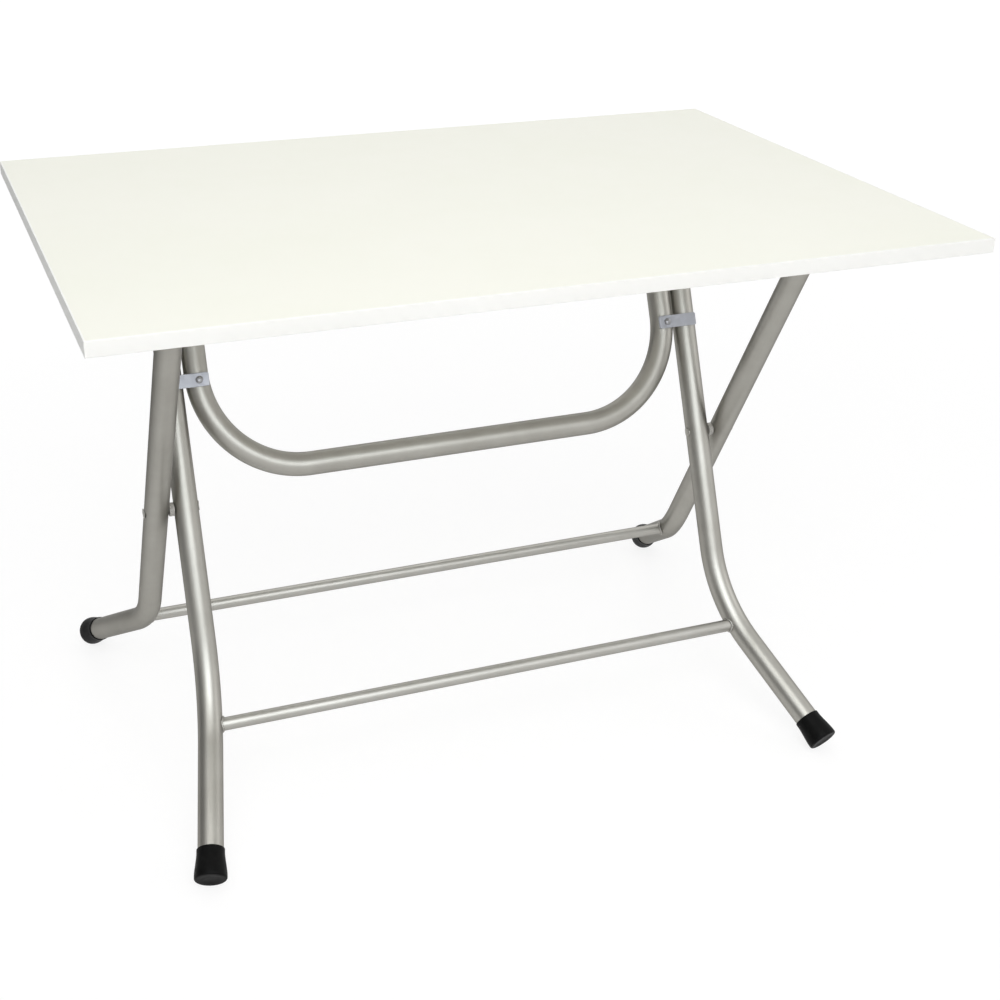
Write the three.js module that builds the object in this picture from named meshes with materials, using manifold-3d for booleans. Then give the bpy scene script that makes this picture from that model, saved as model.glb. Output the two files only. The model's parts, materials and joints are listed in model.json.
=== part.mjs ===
// Folding table on two crossed tube frames, held open by an over-centre lock brace.
//
// Millimetres and degrees. +Z is up, X runs along the long edge, Y runs from the near edge to the
// far edge. The origin is on the floor under the middle of the tabletop.
//
// The outer frame hangs on the near hinges and stands on the far feet. The inner frame is bolted to
// it at the crossing and stands on the near feet. The lock brace is a U of tube that hangs on the
// far hinges and is pinned to the tops of the inner legs. Open, the brace arms and the inner legs
// lie on one line, and the stop straps on the arms rest against the near side of those legs.

import * as THREE from 'three';
import { mergeVertices } from 'three/addons/utils/BufferGeometryUtils.js';
import Module from 'manifold-3d';

const wasm = await Module();
wasm.setup();

// ---------------------------------------------------------------- driving dimensions

const TABLE = { height: 740, length: 1075, depth: 710, thickness: 18 };
const BOARD = { laminate: 0.8, backer: 0.6, edgeBand: 2, edgeRound: 0.7 };
const TUBE = { diameter: 32, wall: 1.5, sides: 20 };
const CROSSBAR = { diameter: 17, wall: 1.2, sides: 16 };

// The crossing is midway between the long edges. The hinge lines lie this far below the tabletop.
const CROSSING_HEIGHT = 358;
const HINGE_DROP = 26;
const SPACER = 7;
const ARM_GAP = 3;

// The outer legs stand this far in from the ends of the board.
const END_OVERHANG = 123;

// towards is +1 for the feet on the far side and -1 for the feet on the near side.
// slope is measured down from level and splay outward from the leg's own side plane. crossbarShare
// is how far round the leg's bend the crossbar meets it.
const OUTER = {
  hingeY: -169,
  halfSpan: TABLE.length / 2 - END_OVERHANG,
  towards: 1,
  bendHeight: 139,
  bend: { radius: 145, steps: 5 },
  foot: { slope: 32.4, splay: 17.3 },
  crossbarShare: 0.8,
};
const INNER = {
  topY: 149,
  halfSpan: OUTER.halfSpan - TUBE.diameter - SPACER,
  towards: -1,
  bendHeight: 133,
  bend: { radius: 212, steps: 5 },
  foot: { slope: 28, splay: 14.4 },
  crossbarShare: 0.8,
};
const BRACE = {
  halfSpan: INNER.halfSpan - TUBE.diameter - ARM_GAP,
  barDistance: 336,
  bend: { radius: 138, steps: 8 },
};

const TUBE_TIP = 14;
const CAP = { sleeve: 34.8, flare: 40.5, length: 38, base: 10, neck: 12, skirt: 4, sides: 20 };
const CAP_ROUND = { rim: 2.5, rimSteps: 2, bellSteps: 4, lip: 0.7 };
const PLUG = { flange: 2.2, insert: 9, wall: 2, chamfer: 1, sides: 12 };

const PIN = { diameter: 8, head: 15, headHeight: 3.6, nutAcross: 13, nutHeight: 5.5, tail: 1.5 };
const FLUSH_HEAD = { diameter: 13, height: 1 };
const PIN_ROUND = { sides: 16, domeSteps: 3, chamfer: 0.6 };
const SPACER_DIAMETER = 18;
const PIVOT_HEAD_HEIGHT = 2.6;
const CLEVIS = { sheet: 2.5, play: 1.2, radius: 14, webLength: 66, screwPitch: 48, screwHole: 4.6 };
const ANGLE_LEG = 30;
const STRAP = { belowPivot: 53, height: 18, thickness: 3, past: 13, onLeg: 10, corner: 2.5 };
const STRAP_RIVET = { diameter: 5, head: 10, headHeight: 2.4, tail: 1.2 };

// Pieces that meet keep this running clearance.
const CLEAR = 0.3;

// ---------------------------------------------------------------- materials

const finishes = {
  laminate: { color: 0xecece2, roughness: 0.42, metalness: 0 },
  backer: { color: 0xe4e2da, roughness: 0.6, metalness: 0 },
  core: { color: 0xc9ad82, roughness: 0.9, metalness: 0 },
  edging: { color: 0xf6f6f2, roughness: 0.38, metalness: 0 },
  tube: { color: 0xa5a296, roughness: 0.32, metalness: 0.9 },
  plate: { color: 0xc0c1c4, roughness: 0.3, metalness: 0.95 },
  bolt: { color: 0xb4b3ae, roughness: 0.28, metalness: 1 },
  spacer: { color: 0x8d8578, roughness: 0.5, metalness: 0.4 },
  rubber: { color: 0x141412, roughness: 0.75, metalness: 0 },
};

/** Makes a fresh standard material for one of the finishes. */
function materialOf(finish) {
  return new THREE.MeshStandardMaterial({ name: finish, ...finishes[finish] });
}

// ---------------------------------------------------------------- joining and cutting

/** Turns a closed geometry into a solid that can be joined and cut. */
function solidOf(geometry) {
  const bare = geometry.clone();
  bare.deleteAttribute('normal');
  bare.deleteAttribute('uv');
  const merged = mergeVertices(bare, 1e-4);
  return new wasm.Manifold(new wasm.Mesh({
    numProp: 3,
    vertProperties: new Float32Array(merged.attributes.position.array),
    triVerts: new Uint32Array(merged.index.array),
  }));
}

/** Turns a solid back into an indexed geometry. */
function geometryOf(solid) {
  const mesh = solid.getMesh();
  const geometry = new THREE.BufferGeometry();
  geometry.setAttribute('position', new THREE.BufferAttribute(mesh.vertProperties, 3));
  geometry.setIndex(new THREE.BufferAttribute(mesh.triVerts, 1));
  geometry.computeVertexNormals();
  return geometry;
}

/** Cuts each tool out of the body. */
function cut(body, ...tools) {
  return geometryOf(tools.reduce((rest, tool) => rest.subtract(solidOf(tool)), solidOf(body)));
}

/** Joins pieces that overlap into one body. */
function join(first, ...others) {
  return geometryOf(others.reduce((sum, other) => sum.add(solidOf(other)), solidOf(first)));
}

/** Mirrors a geometry across the plane X = 0 and keeps its faces pointing out. */
function mirrored(geometry) {
  const copy = geometry.clone().applyMatrix4(new THREE.Matrix4().makeScale(-1, 1, 1));
  const flat = copy.index ? copy : mergeVertices(copy);
  const corners = flat.index.array;
  for (let i = 0; i < corners.length; i += 3) {
    [corners[i], corners[i + 1]] = [corners[i + 1], corners[i]];
  }
  flat.computeVertexNormals();
  return flat;
}

// ---------------------------------------------------------------- general shapes

/** A round bar or cutter along X, from one X to another. */
function barAlongX(from, to, diameter, sides = PIN_ROUND.sides) {
  const bar = new THREE.CylinderGeometry(diameter / 2, diameter / 2, to - from, sides);
  return bar.rotateZ(Math.PI / 2).translate((from + to) / 2, 0, 0);
}

/** A solid of revolution about X. The profile lists [radius, x] and starts and ends on the axis. */
function turnedAlongX(profile) {
  const points = profile.map(([radius, x]) => new THREE.Vector2(radius, x));
  return new THREE.LatheGeometry(points, PIN_ROUND.sides).rotateZ(-Math.PI / 2);
}

/** A ring about X, such as a washer or a spacer. */
function ringAlongX(from, to, outside, bore) {
  const profile = [[bore / 2, from], [outside / 2, from], [outside / 2, to], [bore / 2, to]];
  return turnedAlongX([...profile, profile[0]]);
}

/** A domed head on a shank about X. The head's flat side is at x = 0 and the shank runs to -length. */
function headedPin(length, pin) {
  const { chamfer, domeSteps } = PIN_ROUND;
  const profile = [
    [0, -length],
    [pin.diameter / 2 - chamfer, -length],
    [pin.diameter / 2, -length + chamfer],
    [pin.diameter / 2, 0],
  ];
  for (let k = 0; k < domeSteps; k += 1) {
    const angle = (Math.PI / 2) * (k / domeSteps);
    profile.push([(pin.head / 2) * Math.cos(angle), pin.headHeight * Math.sin(angle)]);
  }
  profile.push([0, pin.headHeight]);
  return turnedAlongX(profile);
}

/** A hexagon nut about X with its seat at x = 0, growing towards -X. */
function hexNut(across, height, bore) {
  const outline = new THREE.Shape();
  const corner = across / Math.sqrt(3);
  for (let i = 0; i < 6; i += 1) {
    const angle = (i * Math.PI) / 3;
    const go = i === 0 ? 'moveTo' : 'lineTo';
    outline[go](corner * Math.cos(angle), corner * Math.sin(angle));
  }
  outline.closePath();
  const hole = new THREE.Path();
  hole.absarc(0, 0, bore / 2, 0, Math.PI * 2, true);
  outline.holes.push(hole);
  const nut = new THREE.ExtrudeGeometry(outline, { depth: height, bevelEnabled: false, curveSegments: 8 });
  return nut.rotateY(-Math.PI / 2);
}

/** A rectangle with rounded corners, centred on the origin of its plane. */
function roundedRectangle(width, height, radius) {
  const [x, y] = [width / 2, height / 2];
  const shape = new THREE.Shape();
  shape.moveTo(-x + radius, -y);
  shape.lineTo(x - radius, -y);
  shape.absarc(x - radius, -y + radius, radius, -Math.PI / 2, 0);
  shape.lineTo(x, y - radius);
  shape.absarc(x - radius, y - radius, radius, 0, Math.PI / 2);
  shape.lineTo(-x + radius, y);
  shape.absarc(-x + radius, y - radius, radius, Math.PI / 2, Math.PI);
  shape.lineTo(-x, -y + radius);
  shape.absarc(-x + radius, -y + radius, radius, Math.PI, Math.PI * 1.5);
  return shape;
}

// ---------------------------------------------------------------- bent tubes

/**
 * The centre line of a bent tube: straight runs between corner points, with a round bend at each
 * inner corner. A straight run is one step, and each bend is bend.steps steps.
 */
class BentLine extends THREE.Curve {
  constructor(corners, bend) {
    super();
    this.stations = [];
    this.arcs = [];
    corners.forEach((corner, i) => {
      if (i === 0 || i === corners.length - 1) {
        const other = corners[i === 0 ? 1 : i - 1];
        const along = corner.clone().sub(other).multiplyScalar(i === 0 ? -1 : 1).normalize();
        this.stations.push({ point: corner.clone(), tangent: along });
      } else {
        this.addBend(corners[i - 1], corner, corners[i + 1], bend);
      }
    });
  }

  addBend(before, corner, after, bend) {
    const into = corner.clone().sub(before).normalize();
    const out = after.clone().sub(corner).normalize();
    const turn = into.angleTo(out);
    const start = corner.clone().addScaledVector(into, -bend.radius * Math.tan(turn / 2));
    const side = out.clone().addScaledVector(into, -out.dot(into)).normalize();
    this.arcs.push({ start, into, side, turn, radius: bend.radius });
    for (let k = 0; k <= bend.steps; k += 1) {
      this.stations.push(this.onArc(this.arcs.length - 1, k / bend.steps));
    }
  }

  /** The point and the direction at a share, from 0 to 1, of the way round one of the bends. */
  onArc(index, share) {
    const { start, into, side, turn, radius } = this.arcs[index];
    const angle = turn * share;
    const point = start.clone()
      .addScaledVector(into, radius * Math.sin(angle))
      .addScaledVector(side, radius * (1 - Math.cos(angle)));
    const tangent = into.clone().multiplyScalar(Math.cos(angle)).addScaledVector(side, Math.sin(angle));
    return { point, tangent };
  }

  get steps() {
    return this.stations.length - 1;
  }

  station(u) {
    return this.stations[Math.round(u * this.steps)];
  }

  getPointAt(u, target = new THREE.Vector3()) {
    return target.copy(this.station(u).point);
  }

  getTangentAt(u, target = new THREE.Vector3()) {
    return target.copy(this.station(u).tangent);
  }
}

/** Sweeps a round section along a bent line. With a wall the tube is hollow and open at both ends. */
function sweptTube(line, diameter, wall, sides) {
  const section = new THREE.Shape();
  section.absarc(0, 0, diameter / 2, 0, Math.PI * 2);
  if (wall > 0) {
    const bore = new THREE.Path();
    bore.absarc(0, 0, diameter / 2 - wall, 0, Math.PI * 2);
    section.holes.push(bore);
  }
  return new THREE.ExtrudeGeometry(section, {
    steps: line.steps,
    extrudePath: line,
    curveSegments: sides / 2,
  });
}

// ---------------------------------------------------------------- where the linkage lies

const UNDERSIDE = TABLE.height - TABLE.thickness;
const HINGE_HEIGHT = UNDERSIDE - HINGE_DROP;
const FALL = HINGE_HEIGHT - CROSSING_HEIGHT;

// Distances along the members, from hinge to crossing.
const OUTER_REACH = Math.hypot(OUTER.hingeY, FALL);
const INNER_REACH = Math.hypot(INNER.topY, FALL);

// With this share of the inner line in the brace, the linkage folds flat under the tabletop.
const HINGE_SPAN = INNER.topY - OUTER.hingeY;
const BRACE_LINK = (HINGE_SPAN - OUTER_REACH + INNER_REACH) / 2;
const INNER_LINK = INNER_REACH - BRACE_LINK;

// Lean of each frame from upright, as a turn about X that carries -Z onto the leg's line.
const OUTER_LEAN = Math.atan2(-OUTER.hingeY, FALL);
const INNER_LEAN = -Math.atan2(INNER.topY, FALL);

/** The outside of a foot cap as [radius, distance up the leg]: a rounded rim, a bell and a sleeve. */
function capOutside() {
  const [sleeve, flare] = [CAP.sleeve / 2, CAP.flare / 2];
  const { rim, rimSteps, bellSteps, lip } = CAP_ROUND;
  const profile = [];
  for (let k = 0; k <= rimSteps; k += 1) {
    const angle = (Math.PI / 2) * (k / rimSteps);
    profile.push([flare - rim + rim * Math.sin(angle), rim - rim * Math.cos(angle)]);
  }
  const bellStart = rim + CAP.skirt;
  const bellRise = CAP.length - CAP.neck - bellStart;
  for (let k = 0; k <= bellSteps; k += 1) {
    const t = k / bellSteps;
    const flareShare = (1 + Math.cos(Math.PI * t)) / 2;
    profile.push([sleeve + (flare - sleeve) * flareShare, bellStart + bellRise * t]);
  }
  return [...profile, [sleeve, CAP.length - lip], [sleeve - lip, CAP.length]];
}

/** Height of the middle of a cap's end face when the lowest point of its rim is on the floor. */
function capCentreHeight(slope) {
  return Math.max(...capOutside().map(([radius, up]) => radius * Math.cos(slope) - up * Math.sin(slope)));
}

/**
 * The right leg of a frame in the frame's own axes, where -Z runs down the straight part.
 * fromTop is the distance from the frame's origin to the open top end, and toBend to the corner.
 */
function legLayout(frame, lean, fromTop, toBend) {
  const slope = THREE.MathUtils.degToRad(frame.foot.slope);
  const splay = THREE.MathUtils.degToRad(frame.foot.splay);
  const foot = new THREE.Vector3(
    Math.cos(slope) * Math.sin(splay),
    frame.towards * Math.cos(slope) * Math.cos(splay),
    -Math.sin(slope),
  ).applyAxisAngle(new THREE.Vector3(1, 0, 0), -lean);
  const down = new THREE.Vector3(0, 0, -1).applyAxisAngle(new THREE.Vector3(1, 0, 0), -lean);
  const corner = new THREE.Vector3(0, 0, -toBend);
  const footLength = (frame.bendHeight - capCentreHeight(slope)) / Math.sin(slope);
  const footEnd = corner.clone().addScaledVector(foot, footLength);
  const tubeEnd = footEnd.clone().addScaledVector(foot, -CAP.base - CLEAR);
  const line = new BentLine([new THREE.Vector3(0, 0, fromTop), corner, tubeEnd], frame.bend);
  return { line, foot, footEnd, down };
}

const outerLeg = legLayout(OUTER, OUTER_LEAN, TUBE_TIP, (HINGE_HEIGHT - OUTER.bendHeight) / Math.cos(OUTER_LEAN));
const innerLeg = legLayout(
  INNER,
  INNER_LEAN,
  INNER_LINK + TUBE_TIP,
  (CROSSING_HEIGHT - INNER.bendHeight) / Math.cos(INNER_LEAN),
);

// ---------------------------------------------------------------- pieces

/** A leg tube with a cross hole for a pin at each distance down from the frame's origin. */
function legTube(layout, pinHeights) {
  const tube = sweptTube(layout.line, TUBE.diameter, TUBE.wall, TUBE.sides);
  const holes = pinHeights.map((z) => pinHole(TUBE.diameter).translate(0, 0, z));
  return cut(tube, ...holes);
}

/** The cutter for a pin hole right through something of the given width, centred on x = 0. */
function pinHole(width) {
  return barAlongX(-width, width, PIN.diameter + 2 * CLEAR);
}

/** The crossbar of a frame, coped to the legs' round sides where it meets them. */
function crossbar(frame, layout) {
  const { point } = layout.line.onArc(0, frame.crossbarShare);
  const reach = frame.halfSpan + point.x;
  const bar = barAlongX(-reach, reach, CROSSBAR.diameter, CROSSBAR.sides);
  const bore = barAlongX(-reach - 1, reach + 1, CROSSBAR.diameter - 2 * CROSSBAR.wall, CROSSBAR.sides);
  const right = sweptTube(layout.line, TUBE.diameter + 2 * CLEAR, 0, TUBE.sides);
  right.translate(frame.halfSpan, 0, 0);
  [bar, bore].forEach((piece) => piece.translate(0, point.y, point.z));
  return cut(bar, bore, right, mirrored(right));
}

/** A bell-shaped rubber cap over the foot of a leg, in the leg's own axes. */
function footCap(layout) {
  const inside = TUBE.diameter / 2 + CLEAR;
  const profile = [[0, 0], ...capOutside(), [inside, CAP.length], [inside, CAP.base], [0, CAP.base]];
  const points = profile.map(([radius, up]) => new THREE.Vector2(radius, up));
  const cap = new THREE.LatheGeometry(points, CAP.sides);
  const up = layout.foot.clone().negate();
  const lowest = layout.down.clone().addScaledVector(up, -layout.down.dot(up)).normalize();
  const across = new THREE.Vector3().crossVectors(up, lowest);
  return cap.applyMatrix4(new THREE.Matrix4().makeBasis(across, up, lowest).setPosition(layout.footEnd));
}

/** A plug for an open tube end, with its flange on the end face and its insert hollow. */
function endPlug() {
  const { flange, chamfer } = PLUG;
  const outside = TUBE.diameter / 2 - chamfer / 2;
  const insert = TUBE.diameter / 2 - TUBE.wall - CLEAR;
  const hollow = insert - PLUG.wall;
  const points = [
    [0, -flange / 2],
    [hollow - chamfer, -PLUG.insert],
    [insert - chamfer, -PLUG.insert],
    [insert, 0],
    [outside, 0],
    [outside, flange - chamfer],
    [outside - chamfer, flange],
    [0, flange],
  ].map(([radius, up]) => new THREE.Vector2(radius, up));
  return new THREE.LatheGeometry(points, PLUG.sides).rotateX(Math.PI / 2).translate(0, 0, CLEAR);
}

/** A cheek plate that hangs from the tabletop and rounds off about the hinge pin. */
function cheek(fromX) {
  const side = new THREE.Shape();
  side.moveTo(-CLEVIS.radius, 0);
  side.lineTo(-CLEVIS.radius, -HINGE_DROP);
  side.absarc(0, -HINGE_DROP, CLEVIS.radius, Math.PI, Math.PI * 2);
  side.lineTo(CLEVIS.radius, 0);
  side.closePath();
  const plate = new THREE.ExtrudeGeometry(side, {
    depth: CLEVIS.sheet,
    bevelEnabled: false,
    curveSegments: 10,
  });
  return plate.rotateY(Math.PI / 2).rotateX(Math.PI / 2).translate(fromX, 0, 0);
}

/** The flat web of a hinge bracket, with a screw hole near each end. */
function bracketWeb(fromX, toX, screwX) {
  const web = new THREE.ExtrudeGeometry(roundedRectangle(toX - fromX, CLEVIS.webLength, 3), {
    depth: CLEVIS.sheet,
    bevelEnabled: false,
    curveSegments: 3,
  }).translate((fromX + toX) / 2, 0, -CLEVIS.sheet);
  const screws = [-1, 1].map((end) => {
    const hole = new THREE.CylinderGeometry(CLEVIS.screwHole / 2, CLEVIS.screwHole / 2, 4 * CLEVIS.sheet, 10);
    return hole.rotateX(Math.PI / 2).translate(screwX, (end * CLEVIS.screwPitch) / 2, 0);
  });
  return cut(web, ...screws);
}

const CHEEK_INSIDE = TUBE.diameter / 2 + CLEVIS.play;
const CHEEK_OUTSIDE = CHEEK_INSIDE + CLEVIS.sheet;

/** The clevis of an outer leg: a web with a cheek on each side of the tube. */
function clevisBracket() {
  const web = bracketWeb(-CHEEK_OUTSIDE, CHEEK_OUTSIDE, 0);
  const cheeks = [cheek(-CHEEK_OUTSIDE), cheek(CHEEK_INSIDE)];
  return cut(join(web, ...cheeks), pinHole(CHEEK_OUTSIDE * 2).translate(0, 0, -HINGE_DROP));
}

/** The angle of a brace arm: one cheek on the arm's inner side and a leg turned inward. */
function angleBracket() {
  const farEdge = -CHEEK_INSIDE - ANGLE_LEG;
  const web = bracketWeb(farEdge, -CHEEK_INSIDE, (farEdge - CHEEK_OUTSIDE) / 2);
  const hole = pinHole(CHEEK_OUTSIDE * 2).translate(0, 0, -HINGE_DROP);
  return cut(join(web, cheek(-CHEEK_OUTSIDE)), hole);
}

/** The U of the lock brace: two arms, two bends and the bar that the hand pulls. */
function braceTube() {
  const corner = (x, z) => new THREE.Vector3(x, 0, z);
  const line = new BentLine([
    corner(-BRACE.halfSpan, TUBE_TIP),
    corner(-BRACE.halfSpan, -BRACE.barDistance),
    corner(BRACE.halfSpan, -BRACE.barDistance),
    corner(BRACE.halfSpan, TUBE_TIP),
  ], BRACE.bend);
  const tube = sweptTube(line, TUBE.diameter, TUBE.wall, TUBE.sides);
  const holes = [-1, 1].flatMap((side) => [
    pinHole(TUBE.diameter).translate(side * BRACE.halfSpan, 0, 0),
    strapRivetHole().translate(side * BRACE.halfSpan, 0, STRAP_Z),
  ]);
  return cut(tube, ...holes);
}

const STRAP_Z = -BRACE_LINK - STRAP.belowPivot;
const STRAP_SEAT = TUBE.diameter / 2 + CLEAR;

/** The cutter for a strap rivet, through the near wall of a brace arm. */
function strapRivetHole() {
  const radius = STRAP_RIVET.diameter / 2 + CLEAR;
  return new THREE.CylinderGeometry(radius, radius, STRAP_SEAT * 2, 12).translate(0, -STRAP_SEAT, 0);
}

/** The right stop strap: a flat plate from the brace arm across the face of the inner leg. */
function stopStrap() {
  const armToLeg = INNER.halfSpan - BRACE.halfSpan;
  const length = STRAP.past + armToLeg + STRAP.onLeg;
  const outline = roundedRectangle(length, STRAP.height, STRAP.corner);
  const hole = new THREE.Path();
  const holeX = -length / 2 + STRAP.past;
  hole.absarc(holeX, 0, STRAP_RIVET.diameter / 2 + CLEAR, 0, Math.PI * 2, true);
  outline.holes.push(hole);
  const plate = new THREE.ExtrudeGeometry(outline, {
    depth: STRAP.thickness,
    bevelEnabled: false,
    curveSegments: 6,
  });
  return plate.rotateX(Math.PI / 2).translate(-holeX, -STRAP_SEAT, 0);
}

/** A strap's rivet, with its head on the strap and its shank in the arm's near wall. */
function strapRivet() {
  const length = STRAP.thickness + CLEAR + TUBE.wall + STRAP_RIVET.tail;
  return headedPin(length + CLEAR, STRAP_RIVET).rotateZ(-Math.PI / 2);
}

/** The rivet through an inner leg, a spacer and an outer leg, with a low flat head at each end. */
function crossingRivet() {
  const innerSeat = -TUBE.diameter / 2 - CLEAR;
  const outerSeat = TUBE.diameter * 1.5 + SPACER + CLEAR;
  const { diameter, height } = FLUSH_HEAD;
  return turnedAlongX([
    [0, innerSeat - height],
    [diameter / 2 - height, innerSeat - height],
    [diameter / 2, innerSeat],
    [PIN.diameter / 2, innerSeat],
    [PIN.diameter / 2, outerSeat],
    [diameter / 2, outerSeat],
    [diameter / 2 - height, outerSeat + height],
    [0, outerSeat + height],
  ]);
}

/** A strip of edging with its outer corners rounded, along X and centred on the origin. */
function edgeBand(length) {
  const [out, up, round] = [BOARD.edgeBand, TABLE.thickness, BOARD.edgeRound];
  const section = new THREE.Shape();
  section.moveTo(0, 0);
  section.lineTo(out - round, 0);
  section.absarc(out - round, round, round, -Math.PI / 2, 0);
  section.lineTo(out, up - round);
  section.absarc(out - round, up - round, round, 0, Math.PI / 2);
  section.lineTo(0, up);
  section.closePath();
  const band = new THREE.ExtrudeGeometry(section, { depth: length, bevelEnabled: false, curveSegments: 4 });
  return band.translate(0, 0, -length / 2).rotateX(Math.PI / 2).rotateZ(-Math.PI / 2);
}

// ---------------------------------------------------------------- assembly

/** Adds a named mesh to a group at a place in the group's axes. */
function add(group, name, geometry, finish, [x, y, z] = [0, 0, 0]) {
  const mesh = new THREE.Mesh(geometry, materialOf(finish));
  mesh.name = name;
  mesh.position.set(x, y, z);
  group.add(mesh);
  return mesh;
}

/** Adds a right piece and its mirror image, standing halfSpan to each side of the middle. */
function addPair(group, name, geometry, finish, halfSpan, [y, z] = [0, 0]) {
  add(group, `${name}_right`, geometry, finish, [halfSpan, y, z]);
  add(group, `${name}_left`, mirrored(geometry), finish, [-halfSpan, y, z]);
}

/** The board, its two faces, the four edge bands and the hinge brackets with their pins. */
function buildTabletop() {
  const group = new THREE.Group();
  group.position.z = UNDERSIDE;
  const coreLength = TABLE.length - 2 * BOARD.edgeBand;
  const coreDepth = TABLE.depth - 2 * BOARD.edgeBand;
  const sheet = (from, to) => new THREE.BoxGeometry(coreLength, coreDepth, to - from)
    .translate(0, 0, (from + to) / 2);
  const coreTop = TABLE.thickness - BOARD.laminate;
  add(group, 'underside_backer', sheet(0, BOARD.backer), 'backer');
  add(group, 'tabletop_core', sheet(BOARD.backer, coreTop), 'core');
  add(group, 'top_laminate', sheet(coreTop, TABLE.thickness), 'laminate');

  const longBand = edgeBand(TABLE.length);
  const shortBand = edgeBand(coreDepth);
  add(group, 'edge_band_near', longBand, 'edging', [0, -coreDepth / 2, 0]);
  add(group, 'edge_band_far', longBand.clone().rotateZ(Math.PI), 'edging', [0, coreDepth / 2, 0]);
  add(group, 'edge_band_right', shortBand.clone().rotateZ(Math.PI / 2), 'edging', [coreLength / 2, 0, 0]);
  add(group, 'edge_band_left', shortBand.clone().rotateZ(-Math.PI / 2), 'edging', [-coreLength / 2, 0, 0]);

  addPair(group, 'outer_hinge_bracket', clevisBracket(), 'plate', OUTER.halfSpan, [OUTER.hingeY, 0]);
  addPair(group, 'brace_hinge_bracket', angleBracket(), 'plate', BRACE.halfSpan, [INNER.topY, 0]);

  const nut = hexNut(PIN.nutAcross, PIN.nutHeight, PIN.diameter + 2 * CLEAR);
  const hingePinLength = 2 * (CHEEK_OUTSIDE + CLEAR) + PIN.nutHeight + PIN.tail;
  const hingePin = headedPin(hingePinLength, PIN).translate(CHEEK_OUTSIDE + CLEAR, 0, 0);
  const hingeNut = nut.clone().translate(-CHEEK_OUTSIDE - CLEAR, 0, 0);
  addPair(group, 'outer_hinge_pin', hingePin, 'bolt', OUTER.halfSpan, [OUTER.hingeY, -HINGE_DROP]);
  addPair(group, 'outer_hinge_nut', hingeNut, 'bolt', OUTER.halfSpan, [OUTER.hingeY, -HINGE_DROP]);

  const armSide = TUBE.diameter / 2 + CLEAR;
  const bracePinLength = armSide + CHEEK_OUTSIDE + CLEAR + PIN.nutHeight + PIN.tail;
  const bracePin = join(
    barAlongX(armSide - bracePinLength, armSide + FLUSH_HEAD.height / 2, PIN.diameter),
    barAlongX(armSide, armSide + FLUSH_HEAD.height, FLUSH_HEAD.diameter),
  );
  const bracePlace = [INNER.topY, -HINGE_DROP];
  addPair(group, 'brace_hinge_pin', bracePin, 'bolt', BRACE.halfSpan, bracePlace);
  addPair(group, 'brace_hinge_nut', hingeNut.clone(), 'bolt', BRACE.halfSpan, bracePlace);
  return group;
}

/** The frame that hangs on the near hinges and stands on the far feet. Its origin is the hinge line. */
function buildOuterFrame() {
  const group = new THREE.Group();
  group.position.set(0, OUTER.hingeY, HINGE_HEIGHT);
  group.rotation.x = OUTER_LEAN;
  addPair(group, 'outer_leg', legTube(outerLeg, [0, -OUTER_REACH]), 'tube', OUTER.halfSpan);
  addPair(group, 'outer_leg_plug', endPlug(), 'rubber', OUTER.halfSpan, [0, TUBE_TIP]);
  addPair(group, 'outer_foot_cap', footCap(outerLeg), 'rubber', OUTER.halfSpan);
  add(group, 'outer_crossbar', crossbar(OUTER, outerLeg), 'tube');
  return group;
}

/** The frame that stands on the near feet. Its origin is the crossing, where it is bolted. */
function buildInnerFrame() {
  const group = new THREE.Group();
  group.position.set(0, 0, CROSSING_HEIGHT);
  group.rotation.x = INNER_LEAN;
  const legSide = TUBE.diameter / 2 + CLEAR;
  addPair(group, 'inner_leg', legTube(innerLeg, [INNER_LINK, 0]), 'tube', INNER.halfSpan);
  addPair(group, 'inner_leg_plug', endPlug(), 'rubber', INNER.halfSpan, [0, INNER_LINK + TUBE_TIP]);
  addPair(group, 'inner_foot_cap', footCap(innerLeg), 'rubber', INNER.halfSpan);
  add(group, 'inner_crossbar', crossbar(INNER, innerLeg), 'tube');

  const bore = PIN.diameter + 2 * CLEAR;
  const spacer = ringAlongX(legSide, legSide + SPACER - 2 * CLEAR, SPACER_DIAMETER, bore);
  addPair(group, 'crossing_rivet', crossingRivet(), 'bolt', INNER.halfSpan);
  addPair(group, 'crossing_spacer', spacer, 'spacer', INNER.halfSpan);

  const gapEnd = legSide + ARM_GAP - 2 * CLEAR;
  const pivot = { ...PIN, headHeight: PIVOT_HEAD_HEIGHT };
  const rivet = headedPin(legSide + gapEnd, pivot).translate(legSide, 0, 0);
  const washer = ringAlongX(-gapEnd, -legSide, SPACER_DIAMETER, bore);
  addPair(group, 'brace_pivot_rivet', rivet, 'bolt', INNER.halfSpan, [0, INNER_LINK]);
  addPair(group, 'brace_pivot_washer', washer, 'spacer', INNER.halfSpan, [0, INNER_LINK]);
  return group;
}

/** The lock brace on the far hinges, with the straps that stop it just past dead centre. */
function buildLockBrace() {
  const group = new THREE.Group();
  group.position.set(0, INNER.topY, HINGE_HEIGHT);
  group.rotation.x = INNER_LEAN;
  add(group, 'brace_tube', braceTube(), 'tube');
  addPair(group, 'brace_arm_plug', endPlug(), 'rubber', BRACE.halfSpan, [0, TUBE_TIP]);
  addPair(group, 'stop_strap', stopStrap(), 'plate', BRACE.halfSpan, [0, STRAP_Z]);
  const rivetSeat = -STRAP_SEAT - STRAP.thickness - CLEAR;
  addPair(group, 'strap_rivet', strapRivet(), 'bolt', BRACE.halfSpan, [rivetSeat, STRAP_Z]);
  return group;
}

const table = new THREE.Group();
table.name = 'folding_table';
table.add(buildTabletop(), buildOuterFrame(), buildInnerFrame(), buildLockBrace());

export default table;
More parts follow.
